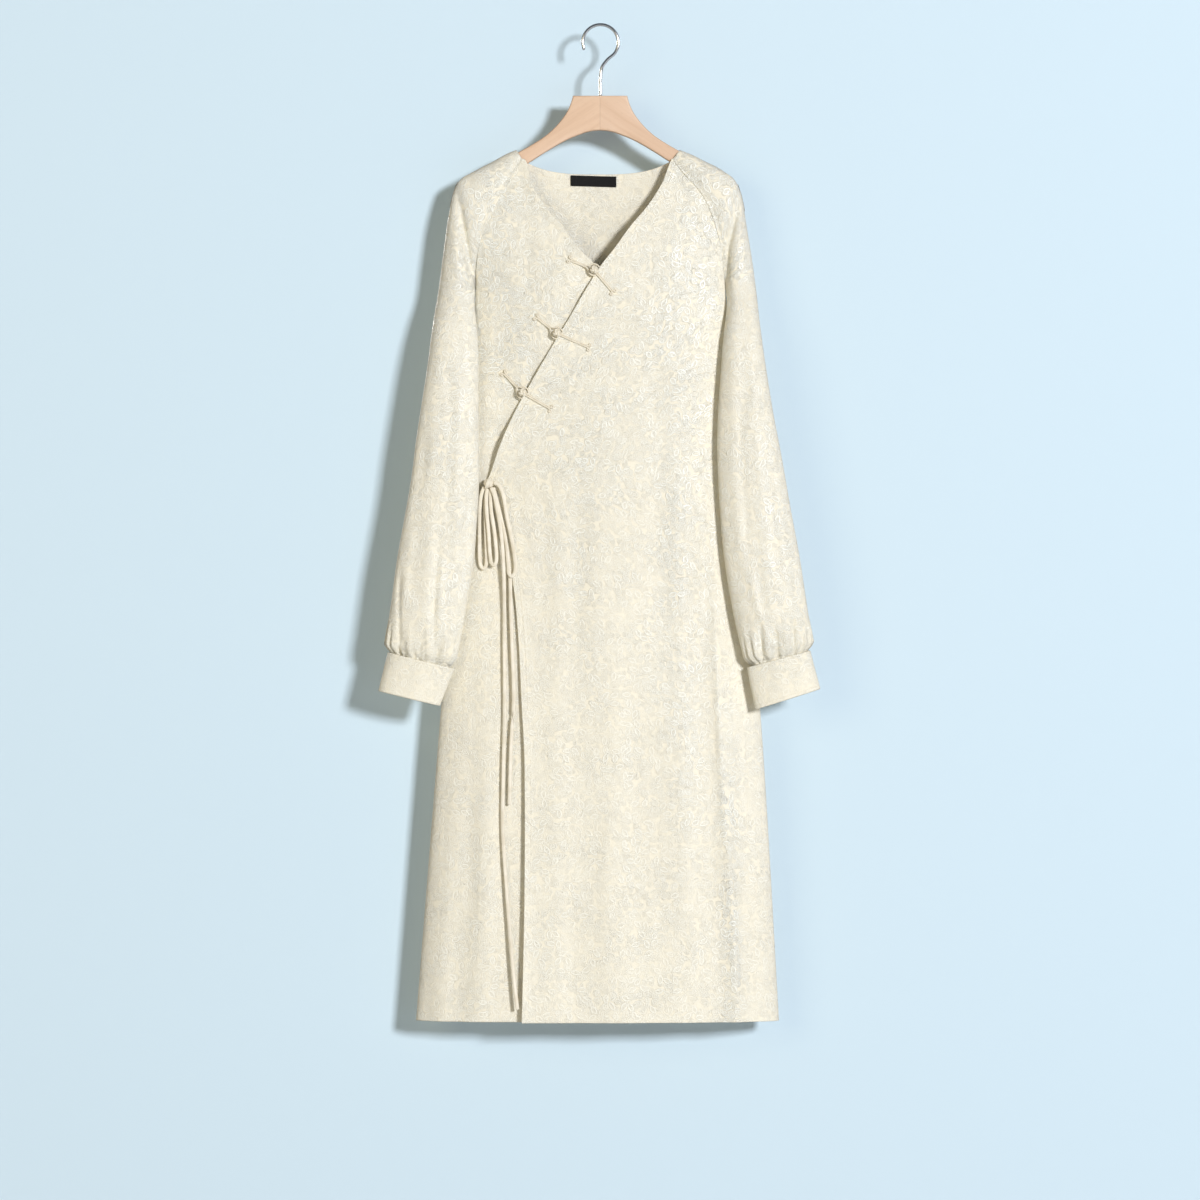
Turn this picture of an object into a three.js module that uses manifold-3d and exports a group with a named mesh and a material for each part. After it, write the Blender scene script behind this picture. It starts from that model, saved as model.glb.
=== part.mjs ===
// A long wrap dress of silk jacquard, hung on a wooden hanger.
// Millimetres. +X is the viewer's right, +Z is up and the front faces -Y.
// The origin is the inside top of the hook, where it rests on a rail.

import * as THREE from 'three';
import { mergeVertices } from 'three/addons/utils/BufferGeometryUtils.js';
import Module from 'manifold-3d';

// Cloth and seams
const CLOTH = 1.2;
const CUFF_CLOTH = 2;
const SEAM_GAP = 0.4;
const SLEEVE_GAP = 0.35;
const SIDE_TRIM = 0.005;
const LAYER_GAP = 2.2;
const TRIM_GAP = 0.4;

// Heights
const NECK_TOP = -172;
const ARMPIT = -340;
const TIE_POINT = -589;
const HEM = -1282;

// Sampling of the smooth forms
const OUTER_COLUMNS = 11;
const UNDER_COLUMNS = 9;
const BACK_COLUMNS = 13;
const SLEEVE_COLUMNS = 16;
const CUFF_COLUMNS = 24;
const BODY_STRETCHES = [
  { to: -370, count: 2 },
  { to: TIE_POINT, count: 5 },
  { to: -720, count: 3 },
  { to: HEM, count: 12 },
];
const NUDGE_ACROSS = 0.003;
const NUDGE_DOWN = 0.4;
const WELD = 1e-4;

// Left and right edge of the body: the raglan seams down to the armpit, then the side seams
const SIDES = [
  { z: -160, left: -95, right: 88 },
  { z: -172, left: -101.2, right: 93.5 },
  { z: -191, left: -112.2, right: 107.5 },
  { z: -212, left: -125, right: 127 },
  { z: -228, left: -133.3, right: 136.8 },
  { z: -246, left: -142.6, right: 144.2 },
  { z: -278, left: -155.3, right: 153.6 },
  { z: -312, left: -160.6, right: 158.4 },
  { z: -340, left: -160.8, right: 161 },
  { z: -895, left: -207, right: 207 },
  { z: -1282, left: -238, right: 230.3 },
];

// How far the cloth stands out from the hanger's plane: front, back, and at the body's edges
const DEPTHS = [
  { z: -160, front: 9.6, back: 9.6, edge: 8 },
  { z: -172, front: 10, back: 10, edge: 8.5 },
  { z: -191, front: 12, back: 11.6, edge: 10 },
  { z: -218, front: 15, back: 13.8, edge: 11.5 },
  { z: -246, front: 18.5, back: 16, edge: 12.2 },
  { z: -262, front: 20.6, back: 17.3, edge: 11.8 },
  { z: -278, front: 22.5, back: 18.5, edge: 10.4 },
  { z: -295, front: 24.3, back: 19.6, edge: 8 },
  { z: -312, front: 26, back: 20.6, edge: 5.2 },
  { z: -326, front: 27.4, back: 21.3, edge: 2.6 },
  { z: -335, front: 28, back: 21.8, edge: 0.9 },
  { z: -340, front: 28.4, back: 22, edge: 0 },
  { z: -450, front: 31, back: 25, edge: 0 },
  { z: -700, front: 33, back: 28, edge: 0 },
  { z: -1000, front: 36, back: 31, edge: 0 },
  { z: -1282, front: 40, back: 34, edge: 0 },
];

// Free edge of the outer front: neckline, wrap edge with the frogs, then the open edge to the hem
const OUTER_EDGE = [
  { z: -160.7, x: 97 },
  { z: -177.1, x: 89.7 },
  { z: -205.1, x: 78.6 },
  { z: -234, x: 60 },
  { z: -258.6, x: 39.3 },
  { z: -287.4, x: 18.7 },
  { z: -313.2, x: -1.3 },
  { z: -342.8, x: -19.4 },
  { z: -377, x: -39.3 },
  { z: -403.5, x: -55.5 },
  { z: -448.6, x: -81.9 },
  { z: -494.4, x: -107.7 },
  { z: -533.8, x: -125.8 },
  { z: -575, x: -140.4 },
  { z: -589, x: -145 },
  { z: -612, x: -140 },
  { z: -650, x: -129.6 },
  { z: -714.4, x: -112.9 },
  { z: -791.8, x: -105.1 },
  { z: -869.2, x: -101.3 },
  { z: -946.6, x: -97.4 },
  { z: -1127, x: -97.4 },
  { z: -1282, x: -100.6 },
];

// Free edge of the under front: neckline, then hidden behind the outer front
const UNDER_EDGE = [
  { z: -161.9, x: -104.6 },
  { z: -178.4, x: -94.3 },
  { z: -204.8, x: -88.4 },
  { z: -238, x: -67.7 },
  { z: -262.7, x: -47.1 },
  { z: -293.6, x: -22.6 },
  { z: -312, x: -4.5 },
  { z: -345, x: 12 },
  { z: -400, x: 30 },
  { z: -480, x: 40 },
  { z: -700, x: 43 },
  { z: -1282, x: 43 },
];

// How far the outer front's free edge stands off, and how wide that lift is
const LIFT_WIDTH = 22;
const EDGE_LIFT = [
  { z: -172, lift: 0 },
  { z: -313, lift: 0.4 },
  { z: -400, lift: 1 },
  { z: -500, lift: 1.8 },
  { z: -550, lift: 2.6 },
  { z: -589, lift: 0.6 },
  { z: -700, lift: 1.4 },
  { z: -800, lift: 2 },
  { z: -920, lift: 4 },
  { z: -1100, lift: 6.5 },
  { z: -1282, lift: 8.5 },
];

// The under front passes behind the outer one over this width beside the wrap edge
const TUCK_WIDTH = 50;
const TUCK_FADE = 8;

// Long soft folds: place at the hem, height where each starts, rise and half width
const FOLD_RUN = 420;
const FOLD_FADE = 4;
const FRONT_FOLDS = [
  { hem: -205, start: -700, rise: 3, spread: 13 },
  { hem: -160, start: -820, rise: 2.6, spread: 16 },
  { hem: -62, start: -640, rise: 2.4, spread: 22 },
  { hem: 22, start: -520, rise: 3, spread: 30 },
  { hem: 108, start: -600, rise: 2.6, spread: 24 },
  { hem: 176, start: -560, rise: 5, spread: 13 },
];
const BACK_FOLDS = [
  { hem: -178, start: -600, rise: 4, spread: 17 },
  { hem: -96, start: -480, rise: 3.4, spread: 26 },
  { hem: -14, start: -680, rise: 2.6, spread: 22 },
  { hem: 74, start: -540, rise: 3.6, spread: 28 },
  { hem: 164, start: -640, rise: 4.2, spread: 18 },
];

// The back neck drops by this much at its middle and runs level again below the yoke height
const BACK_NECK_DROP = 18.6;
const BACK_NECK_POWER = 3;
const BACK_LEVEL = -262;

// Sleeves: the shoulder line and outer edge, and the inner edge below the armpit, as reach from the middle
const LEFT_SLEEVE = [
  { z: -172, outX: 109, outZ: -159.7, inX: 101.2, depth: 8.8, forward: 0 },
  { z: -180, outX: 122, outZ: -165.2, inX: 105.8, depth: 11, forward: 0 },
  { z: -191, outX: 138, outZ: -174.2, inX: 112.2, depth: 12.6, forward: 0 },
  { z: -204, outX: 154, outZ: -182.4, inX: 120.2, depth: 13.4, forward: 0 },
  { z: -218, outX: 168, outZ: -189.9, inX: 128.2, depth: 13.8, forward: 0 },
  { z: -232, outX: 177, outZ: -194.8, inX: 135.4, depth: 14, forward: 0 },
  { z: -246, outX: 184, outZ: -202, inX: 142.6, depth: 14.4, forward: 0 },
  { z: -262, outX: 189, outZ: -214, inX: 149.3, depth: 14.8, forward: 0 },
  { z: -278, outX: 193, outZ: -230, inX: 155.3, depth: 15, forward: 0 },
  { z: -295, outX: 197, outZ: -250, inX: 159, depth: 15.3, forward: 0 },
  { z: -312, outX: 200.6, outZ: -276, inX: 160.6, depth: 15.6, forward: 0 },
  { z: -326, outX: 204, outZ: -302, inX: 160.8, depth: 15.8, forward: 0 },
  { z: -335, outX: 206.5, outZ: -323, inX: 160.8, depth: 16, forward: 0 },
  { z: -340, outX: 208.6, outZ: -338, inX: 160.8, depth: 16, forward: 0.6 },
  { z: -352, outX: 210.5, outZ: -352, inX: 162.4, depth: 16, forward: 5 },
  { z: -370, outX: 213.5, outZ: -370, inX: 161.4, depth: 16, forward: 11 },
  { z: -400, outX: 217.6, outZ: -400, inX: 158, depth: 16, forward: 18.5 },
  { z: -440, outX: 222.5, outZ: -440, inX: 156.7, depth: 16, forward: 24 },
  { z: -533, outX: 236.6, outZ: -533, inX: 156.3, depth: 16.5, forward: 27 },
  { z: -585, outX: 243.2, outZ: -585, inX: 155.6, depth: 17, forward: 28 },
  { z: -637, outX: 252.2, outZ: -637, inX: 158.6, depth: 17.5, forward: 28.5 },
  { z: -688, outX: 261, outZ: -686, inX: 162.2, depth: 18.5, forward: 29.5 },
  { z: -745, outX: 268, outZ: -738, inX: 171.2, depth: 20, forward: 30.5 },
  { z: -790, outX: 273.4, outZ: -776, inX: 179.2, depth: 19.5, forward: 30 },
  { z: -812, outX: 274.6, outZ: -794, inX: 183.6, depth: 17.5, forward: 29 },
  { z: -828.4, outX: 274.1, outZ: -807.2, inX: 187.1, depth: 15, forward: 28 },
];
const RIGHT_SLEEVE = [
  { z: -172, outX: 102.6, outZ: -159.7, inX: 93.5, depth: 8.8, forward: 0 },
  { z: -180, outX: 117, outZ: -165.4, inX: 98.8, depth: 11, forward: 0 },
  { z: -191, outX: 134, outZ: -174, inX: 107.5, depth: 12.6, forward: 0 },
  { z: -204, outX: 150.5, outZ: -182, inX: 119.8, depth: 13.4, forward: 0 },
  { z: -218, outX: 163, outZ: -190, inX: 131, depth: 13.8, forward: 0 },
  { z: -232, outX: 171.4, outZ: -196.4, inX: 138.8, depth: 14, forward: 0 },
  { z: -246, outX: 176.6, outZ: -204.5, inX: 144.2, depth: 14.4, forward: 0 },
  { z: -262, outX: 181, outZ: -217, inX: 149.2, depth: 14.8, forward: 0 },
  { z: -278, outX: 184.4, outZ: -232, inX: 153.6, depth: 15, forward: 0 },
  { z: -295, outX: 187.6, outZ: -252, inX: 156.4, depth: 15.3, forward: 0 },
  { z: -312, outX: 191.6, outZ: -277, inX: 158.4, depth: 15.6, forward: 0 },
  { z: -326, outX: 195.8, outZ: -303, inX: 159.8, depth: 15.8, forward: 0 },
  { z: -335, outX: 198.6, outZ: -323, inX: 160.6, depth: 16, forward: 0 },
  { z: -340, outX: 200.5, outZ: -338, inX: 161, depth: 16, forward: 0.6 },
  { z: -352, outX: 202, outZ: -352, inX: 162.8, depth: 16, forward: 5 },
  { z: -370, outX: 203.6, outZ: -370, inX: 161.8, depth: 16, forward: 11 },
  { z: -400, outX: 207, outZ: -400, inX: 158.2, depth: 16, forward: 19 },
  { z: -440, outX: 212.4, outZ: -440, inX: 155, depth: 16, forward: 25 },
  { z: -503, outX: 222.4, outZ: -503, inX: 150.8, depth: 16.4, forward: 28.5 },
  { z: -552, outX: 231.8, outZ: -552, inX: 149.8, depth: 17, forward: 30 },
  { z: -620, outX: 243.6, outZ: -620, inX: 152.9, depth: 17.5, forward: 30.5 },
  { z: -687, outX: 255.6, outZ: -685, inX: 158.7, depth: 18.5, forward: 31 },
  { z: -754, outX: 265, outZ: -747, inX: 169.6, depth: 20, forward: 31.5 },
  { z: -790, outX: 269.6, outZ: -776, inX: 177.4, depth: 19.5, forward: 31 },
  { z: -811, outX: 270.8, outZ: -792, inX: 183, depth: 17.5, forward: 30 },
  { z: -826.6, outX: 270.3, outZ: -804.7, inX: 187.7, depth: 15, forward: 29 },
];
const SLEEVES = [
  { side: -1, name: 'sleeve_left', table: LEFT_SLEEVE, wrist: -828.4, creaseDepth: 2.6 },
  { side: 1, name: 'sleeve_right', table: RIGHT_SLEEVE, wrist: -826.6, creaseDepth: 2.2 },
];

// Creases where the front of each shoulder turns down into the sleeve
const CREASE_WIDTH = 9;
const CREASES = [
  { z: -200, left: 187, right: 181, share: 0 },
  { z: -218, left: 184, right: 177, share: 0.5 },
  { z: -263, left: 175, right: 168, share: 1 },
  { z: -305, left: 168, right: 163.5, share: 1 },
  { z: -350, left: 160, right: 160, share: 0.4 },
  { z: -380, left: 158, right: 158, share: 0 },
];

// Gathers of a sleeve into its cuff: waves round the wrist, uneven in spacing and height
const GATHERS = 20;
const GATHER_COLUMNS = 72;
const GATHER_RISE = 1.7;
const GATHER_UNEVEN = { drift: 0.9, jitter: 0.6, mean: 0.7, swing: 0.3 };
const GATHER_FADE = 62;
const GATHER_ROWS = 3;
const TUBE_ROWS = 12;

// Cuffs: bands below the wrist seams
const CUFFS = [
  {
    side: -1,
    name: 'cuff_left',
    rows: [
      { z: -829.2, outX: 273.6, outZ: -808, inX: 187.6, depth: 14.4, forward: 28 },
      { z: -852, outX: 279.4, outZ: -832, inX: 196.6, depth: 14.2, forward: 28 },
      { z: -875.6, outX: 284.7, outZ: -856.3, inX: 205.4, depth: 14, forward: 28 },
    ],
  },
  {
    side: 1,
    name: 'cuff_right',
    rows: [
      { z: -827.4, outX: 269.8, outZ: -805.5, inX: 188.2, depth: 14.4, forward: 29 },
      { z: -854, outX: 275.8, outZ: -830, inX: 193, depth: 14.2, forward: 29 },
      { z: -880.1, outX: 281.7, outZ: -853.7, inX: 198, depth: 14, forward: 29 },
    ],
  },
];
const CUFF_STEPS = 3;

// Neck label: black and bare, sewn inside the back neck
const LABEL = { left: -38.1, right: 20, top: -192, height: 12.8, slope: 0.028, thick: 1 };
const LABEL_COLUMNS = 6;
const LABEL_ROWS = 2;

// Frog closures: a ball knot on the wrap edge, a strap to each side ending in a turned tab
const STRAP_WIDTH = 4.2;
const STRAP_THICK = 1.9;
const TAB_WIDTH = 10.4;
const TAB_LENGTH = 4.6;
const TAB_EDGE = 1;
const STRAP_STEPS = 3;
const KNOT_STRAP_START = 3;
const KNOT_RADIUS = 5.3;
const KNOT_RISE = 5.5;
const KNOT_SIDES = 12;
const KNOT_RINGS = 8;
const RING_RADIUS = 7.4;
const RING_WIRE = 1.5;
const RING_TURN = 2.2;
const RING_STEPS = 10;
const LOOP_SLOPE = 14;
const FROGS = [
  { x: -8.4, z: -316, loopX: -40, loopZ: -302.5, knotX: 16.6, knotZ: -345.2 },
  { x: -56.1, z: -397.5, loopX: -82.4, loopZ: -376.6, knotX: -14.4, knotZ: -415.9 },
  { x: -100, z: -474, loopX: -124.6, loopZ: -448.2, knotX: -63.4, knotZ: -494.8 },
];

// Bow at the foot of the wrap edge: knot, three loops and two tails of one flat tie
const TIE_HALF_WIDTH = 2.4;
const TIE_HALF_THICK = 1.1;
const TIE_SIDES = 8;
const BOW = { x: -143.8, z: -590.5, wide: 7, deep: 5.4, tall: 6.4, out: 6, sides: 14, rings: 10 };
const TIES = [
  {
    name: 'bow_loop_1',
    steps: 30,
    route: [
      { x: -149.6, z: -595.6, out: 7.8 },
      { x: -152.8, z: -604, out: 7.8 },
      { x: -155.2, z: -625, out: 6.4 },
      { x: -155.6, z: -660, out: 4.4 },
      { x: -155.4, z: -688, out: 3.4 },
      { x: -153.6, z: -696.4, out: 3.2 },
      { x: -150.4, z: -699.4, out: 3.2 },
      { x: -147.4, z: -696, out: 3.2 },
      { x: -146.4, z: -688, out: 3.2 },
      { x: -147, z: -660, out: 3.2 },
      { x: -148.2, z: -625, out: 3.6 },
      { x: -147.8, z: -606, out: 3.9 },
      { x: -146.8, z: -597.6, out: 4 },
    ],
  },
  {
    name: 'bow_loop_2',
    steps: 30,
    route: [
      { x: -145.6, z: -598.4, out: 8 },
      { x: -146.6, z: -606, out: 8 },
      { x: -146.2, z: -625, out: 7.4 },
      { x: -143.6, z: -655, out: 6.4 },
      { x: -141.6, z: -684, out: 6 },
      { x: -140.2, z: -692, out: 6 },
      { x: -137.2, z: -695.2, out: 6 },
      { x: -134.2, z: -692, out: 6 },
      { x: -133.4, z: -684, out: 5.6 },
      { x: -135.8, z: -655, out: 4.8 },
      { x: -140.4, z: -625, out: 4.6 },
      { x: -141.8, z: -606, out: 5.1 },
      { x: -142, z: -598.8, out: 5.3 },
    ],
  },
  {
    name: 'bow_loop_3',
    steps: 30,
    route: [
      { x: -136.2, z: -589.8, out: 7.4 },
      { x: -130.6, z: -592.8, out: 7.4 },
      { x: -125.4, z: -604, out: 7 },
      { x: -119.6, z: -636, out: 6.4 },
      { x: -113, z: -668, out: 5.8 },
      { x: -109.2, z: -698, out: 5.4 },
      { x: -110.6, z: -706.4, out: 5.2 },
      { x: -114, z: -709.6, out: 5 },
      { x: -117.4, z: -706, out: 5 },
      { x: -118.4, z: -696, out: 4.8 },
      { x: -121, z: -668, out: 4.4 },
      { x: -128, z: -634, out: 4.4 },
      { x: -134.4, z: -608, out: 4.4 },
      { x: -137.4, z: -596.6, out: 4.6 },
    ],
  },
  {
    name: 'tail_long',
    steps: 32,
    route: [
      { x: -140, z: -596.6, out: 7.4 },
      { x: -136.4, z: -606, out: 7.4 },
      { x: -131.4, z: -630.5, out: 7.2 },
      { x: -127.4, z: -656, out: 7 },
      { x: -124.6, z: -688.6, out: 6.4 },
      { x: -123.6, z: -740, out: 3.2 },
      { x: -123.6, z: -792, out: 2.2 },
      { x: -123.2, z: -869, out: 2.2 },
      { x: -125.2, z: -985, out: 2.2 },
      { x: -125.8, z: -1030, out: 2.2 },
      { x: -121.3, z: -1101, out: 2.2 },
      { x: -114.2, z: -1192, out: 2.2 },
      { x: -106.4, z: -1263.9, out: 2.2 },
    ],
  },
  {
    name: 'tail_short',
    steps: 15,
    route: [
      { x: -141.4, z: -597.4, out: 1.9 },
      { x: -138.8, z: -606, out: 1.9 },
      { x: -129, z: -640, out: 1.9 },
      { x: -119.6, z: -684, out: 1.9 },
      { x: -116.1, z: -713, out: 1.9 },
      { x: -115.6, z: -740, out: 1.9 },
      { x: -113.8, z: -792, out: 1.9 },
      { x: -111.6, z: -869, out: 1.9 },
      { x: -114.6, z: -921, out: 1.9 },
      { x: -117, z: -1002, out: 1.9 },
    ],
  },
];

// Hanger: flat wood with rounded edges, arms following the shoulders
const WOOD_THICK = 10;
const WOOD_ROUND = 4.6;
const WOOD_ROUND_STEPS = 4;
const WOOD_TOP = [
  { x: 35, z: -90 },
  { x: 38, z: -100.3 },
  { x: 42.6, z: -110.6 },
  { x: 49.7, z: -121 },
  { x: 58.7, z: -131.3 },
  { x: 70.3, z: -141.6 },
  { x: 85.8, z: -151.9 },
  { x: 108, z: -164.2 },
  { x: 124, z: -171.4 },
  { x: 139, z: -179 },
  { x: 154, z: -186.6 },
  { x: 163, z: -191.8 },
  { x: 167.4, z: -197.2 },
];
const WOOD_UNDER = [
  { x: 167, z: -202 },
  { x: 162, z: -205.6 },
  { x: 150, z: -203.6 },
  { x: 120, z: -191.4 },
  { x: 93, z: -177 },
  { x: 70, z: -162.4 },
  { x: 43, z: -147 },
  { x: 20, z: -137.6 },
];
const WOOD_ARCH = -134.4;
const WOOD_SHIFT = -0.6;

// Hook: bent wire over the rail, with the rod going down to the hanger's head
const WIRE = 4;
const WIRE_SIDES = 10;
const HOOK_RADIUS = 23;
const HOOK_STEPS = 26;
const HEAD_TOP = -90;
const HOOK_START = -36;
const HOOK_END = 200;
const HOOK_TURN_STEPS = 9;
const ROD_ROUTE = [
  { x: 0, z: HEAD_TOP + SEAM_GAP },
  { x: 0, z: -66 },
  { x: 1.6, z: -54 },
  { x: 8.6, z: -43.6 },
];

// Colours
const IVORY = { color: 0xf3ecda, roughness: 0.42, metalness: 0 };
const BLACK = { color: 0x14130f, roughness: 0.6, metalness: 0 };
const BEECH = { color: 0xe5c0a0, roughness: 0.5, metalness: 0 };
const STEEL = { color: 0xc9cbcc, roughness: 0.2, metalness: 1 };

const wasm = await Module();
wasm.setup();

// Reads one named column of a table at a height, as a smooth curve through its rows
function read(table, column, z) {
  const last = table.length - 1;
  let row = 0;
  while (row < last - 1 && z < table[row + 1].z) row += 1;
  const [a, b] = [table[row], table[row + 1]];
  const [before, after] = [table[Math.max(row - 1, 0)], table[Math.min(row + 2, last)]];
  const span = b.z - a.z;
  const t = (z - a.z) / span;
  const slopeA = (b[column] - before[column]) / (b.z - before.z);
  const slopeB = (after[column] - a[column]) / (after.z - a.z);
  const ease = t * t * (3 - 2 * t);
  const pull = slopeA * t * (1 - t) * (1 - t) - slopeB * t * t * (1 - t);
  return a[column] + (b[column] - a[column]) * ease + pull * span;
}

function smoothStep(value) {
  const t = Math.min(Math.max(value, 0), 1);
  return t * t * (3 - 2 * t);
}

function bump(distance, width) {
  return Math.exp(-((distance / width) ** 2));
}

// Evenly spaced heights from one to another, without the first
function stepsDown(from, to, count) {
  return Array.from({ length: count }, (_, i) => from + ((to - from) * (i + 1)) / count);
}

// The body's frame at a height: middle, half width, depth, and how far round the profile runs
function bodyAt(face, z) {
  const left = read(SIDES, 'left', z);
  const right = read(SIDES, 'right', z);
  const depth = read(DEPTHS, face < 0 ? 'front' : 'back', z);
  const edge = z > ARMPIT ? Math.max(read(DEPTHS, 'edge', z), 0) : 0;
  const turn = Math.acos(edge / depth);
  return { middle: (left + right) / 2, half: (right - left) / 2, depth, turn };
}

// Standing height of the long folds
function foldRise(folds, x, z, half) {
  const spreadOut = half / bodyAt(-1, HEM).half;
  return folds.reduce((sum, fold) => {
    const grown = smoothStep((fold.start - z) / FOLD_RUN);
    return sum + fold.rise * grown * bump(x - fold.hem * spreadOut, fold.spread);
  }, 0);
}

// A point on the outside of the body; across runs from -1 at the left edge to 1 at the right
function bodyPoint(face, across, z) {
  const body = bodyAt(face, z);
  const angle = across * body.turn;
  const x = body.middle + (body.half * Math.sin(angle)) / Math.sin(body.turn);
  const fade = 1 - across ** FOLD_FADE;
  const folds = foldRise(face < 0 ? FRONT_FOLDS : BACK_FOLDS, x, z, body.half);
  return new THREE.Vector3(x, face * (body.depth * Math.cos(angle) + folds * fade), z);
}

// The across value at a given x, and the limit that keeps the seam gap
function acrossAt(face, x, z) {
  const body = bodyAt(face, z);
  const sine = ((x - body.middle) / body.half) * Math.sin(body.turn);
  return Math.asin(Math.min(Math.max(sine, -1), 1)) / body.turn;
}

function acrossLimit(face, z) {
  const body = bodyAt(face, z);
  const seamTrim = ((SEAM_GAP / 2) * Math.tan(body.turn)) / (body.half * body.turn);
  return 1 - Math.min(SIDE_TRIM, Math.abs(seamTrim));
}

// The outer front, with its free edge standing off
function outerPoint(across, z) {
  const point = bodyPoint(-1, across, z);
  const distance = Math.abs(point.x - read(OUTER_EDGE, 'x', z));
  point.y -= read(EDGE_LIFT, 'lift', z) * Math.exp(-distance / LIFT_WIDTH);
  return point;
}

// The under front, set back where it passes behind the outer one
function underPoint(across, z) {
  const point = bodyPoint(-1, across, z);
  const beyond = point.x - read(OUTER_EDGE, 'x', z);
  const side = 1 - across ** TUCK_FADE;
  point.y += (CLOTH + LAYER_GAP) * smoothStep((beyond + TUCK_WIDTH) / TUCK_WIDTH) * side;
  return point;
}

// The unit normal of a surface of two values, from neighbouring points
function normalOf(surface, u, v, flip) {
  const across = surface(u + NUDGE_ACROSS, v).sub(surface(u - NUDGE_ACROSS, v));
  const up = surface(u, v + NUDGE_DOWN).sub(surface(u, v - NUDGE_DOWN));
  return across.cross(up).normalize().multiplyScalar(flip);
}

// Triangles between two rows of corners that may differ in number
function joinRows(upper, lower, triangles) {
  let [i, j] = [0, 0];
  while (i < upper.length - 1 || j < lower.length - 1) {
    const nextUpper = (i + 1) / (upper.length - 1);
    const nextLower = (j + 1) / (lower.length - 1);
    if (j === lower.length - 1 || (i < upper.length - 1 && nextUpper <= nextLower)) {
      triangles.push([upper[i], lower[j], upper[i + 1]]);
      i += 1;
    } else {
      triangles.push([upper[i], lower[j], lower[j + 1]]);
      j += 1;
    }
  }
}

// A closed wall: an outside, an inside one thickness behind it, and a rim round every free edge
function clothWall({ surface, rows, columns, flip = 1, closesFrom = Infinity, thick = CLOTH }) {
  const points = [];
  const outer = [];
  rows.forEach((v, row) => {
    const count = typeof columns === 'function' ? columns(row) : columns;
    const closed = row >= closesFrom;
    const ids = [];
    for (let i = 0; i < count + (closed ? 0 : 1); i += 1) {
      const point = surface(i / count, v);
      const normal = normalOf(surface, i / count, v, flip);
      ids.push(points.length);
      points.push(point, point.clone().addScaledVector(normal, -thick));
    }
    if (closed) ids.push(ids[0]);
    outer.push(ids);
  });
  const inner = outer.map((ids) => ids.map((id) => id + 1));
  const triangles = [];
  for (let row = 0; row < rows.length - 1; row += 1) {
    joinRows(outer[row], outer[row + 1], triangles);
    joinRows(inner[row + 1], inner[row], triangles);
    if (row < closesFrom) {
      const next = row + 1;
      triangles.push([outer[row][0], inner[row][0], inner[next][0]]);
      triangles.push([outer[row][0], inner[next][0], outer[next][0]]);
      const [a, b] = [outer[row].at(-1), outer[next].at(-1)];
      const [c, d] = [inner[row].at(-1), inner[next].at(-1)];
      triangles.push([a, b, d], [a, d, c]);
    }
  }
  joinRows(inner[0], outer[0], triangles);
  joinRows(outer.at(-1), inner.at(-1), triangles);
  return solidGeometry(points, triangles);
}

// Indexed geometry with its faces turned outwards
function solidGeometry(points, triangles) {
  const whole = triangles.filter(([a, b, c]) => a !== b && b !== c && c !== a);
  const volume = whole.reduce((sum, [a, b, c]) => {
    return sum + points[a].dot(points[b].clone().cross(points[c]));
  }, 0);
  const turned = volume < 0 ? whole.map(([a, b, c]) => [a, c, b]) : whole;
  const geometry = new THREE.BufferGeometry();
  geometry.setAttribute('position', new THREE.Float32BufferAttribute(points.flatMap((p) => p.toArray()), 3));
  geometry.setIndex(turned.flat());
  return geometry;
}

// To and from a solid that can be joined with others
function toSolid(geometry) {
  const bare = geometry.clone();
  bare.deleteAttribute('normal');
  bare.deleteAttribute('uv');
  const merged = mergeVertices(bare, WELD);
  const vertProperties = new Float32Array(merged.attributes.position.array);
  const triVerts = new Uint32Array(merged.index.array);
  return new wasm.Manifold(new wasm.Mesh({ numProp: 3, vertProperties, triVerts }));
}

function fromSolid(solid) {
  const mesh = solid.getMesh();
  const geometry = new THREE.BufferGeometry();
  geometry.setAttribute('position', new THREE.Float32BufferAttribute(mesh.vertProperties, 3));
  geometry.setIndex([...mesh.triVerts]);
  return geometry;
}

// Rows of the body's panels, shared above the armpit with the sleeves' raglan seams
const SEAM_ROWS = LEFT_SLEEVE.map((row) => row.z).filter((z) => z >= ARMPIT);
const BODY_ROWS = BODY_STRETCHES.reduce((rows, { to, count }) => {
  return [...rows, ...stepsDown(rows.at(-1), to, count)];
}, SEAM_ROWS);

function outerFront() {
  const surface = (u, z) => {
    const left = acrossAt(-1, read(OUTER_EDGE, 'x', z), z);
    return outerPoint(left + (acrossLimit(-1, z) - left) * u, z);
  };
  return clothWall({ surface, rows: BODY_ROWS, columns: OUTER_COLUMNS });
}

function underFront() {
  const surface = (u, z) => {
    const left = -acrossLimit(-1, z);
    return underPoint(left + (acrossAt(-1, read(UNDER_EDGE, 'x', z), z) - left) * u, z);
  };
  return clothWall({ surface, rows: BODY_ROWS, columns: UNDER_COLUMNS });
}

// The back, whose upper rows curve down to the low back neck
function backPanel() {
  const surface = (u, z) => {
    const limit = acrossLimit(1, z);
    const across = limit * (2 * u - 1);
    const level = smoothStep((z - BACK_LEVEL) / (NECK_TOP - BACK_LEVEL));
    const drop = BACK_NECK_DROP * level * (1 - Math.abs(2 * u - 1) ** BACK_NECK_POWER);
    return bodyPoint(1, acrossAt(1, bodyPoint(1, across, z).x, z - drop), z - drop);
  };
  return clothWall({ surface, rows: BODY_ROWS, columns: BACK_COLUMNS, flip: -1 });
}

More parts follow.
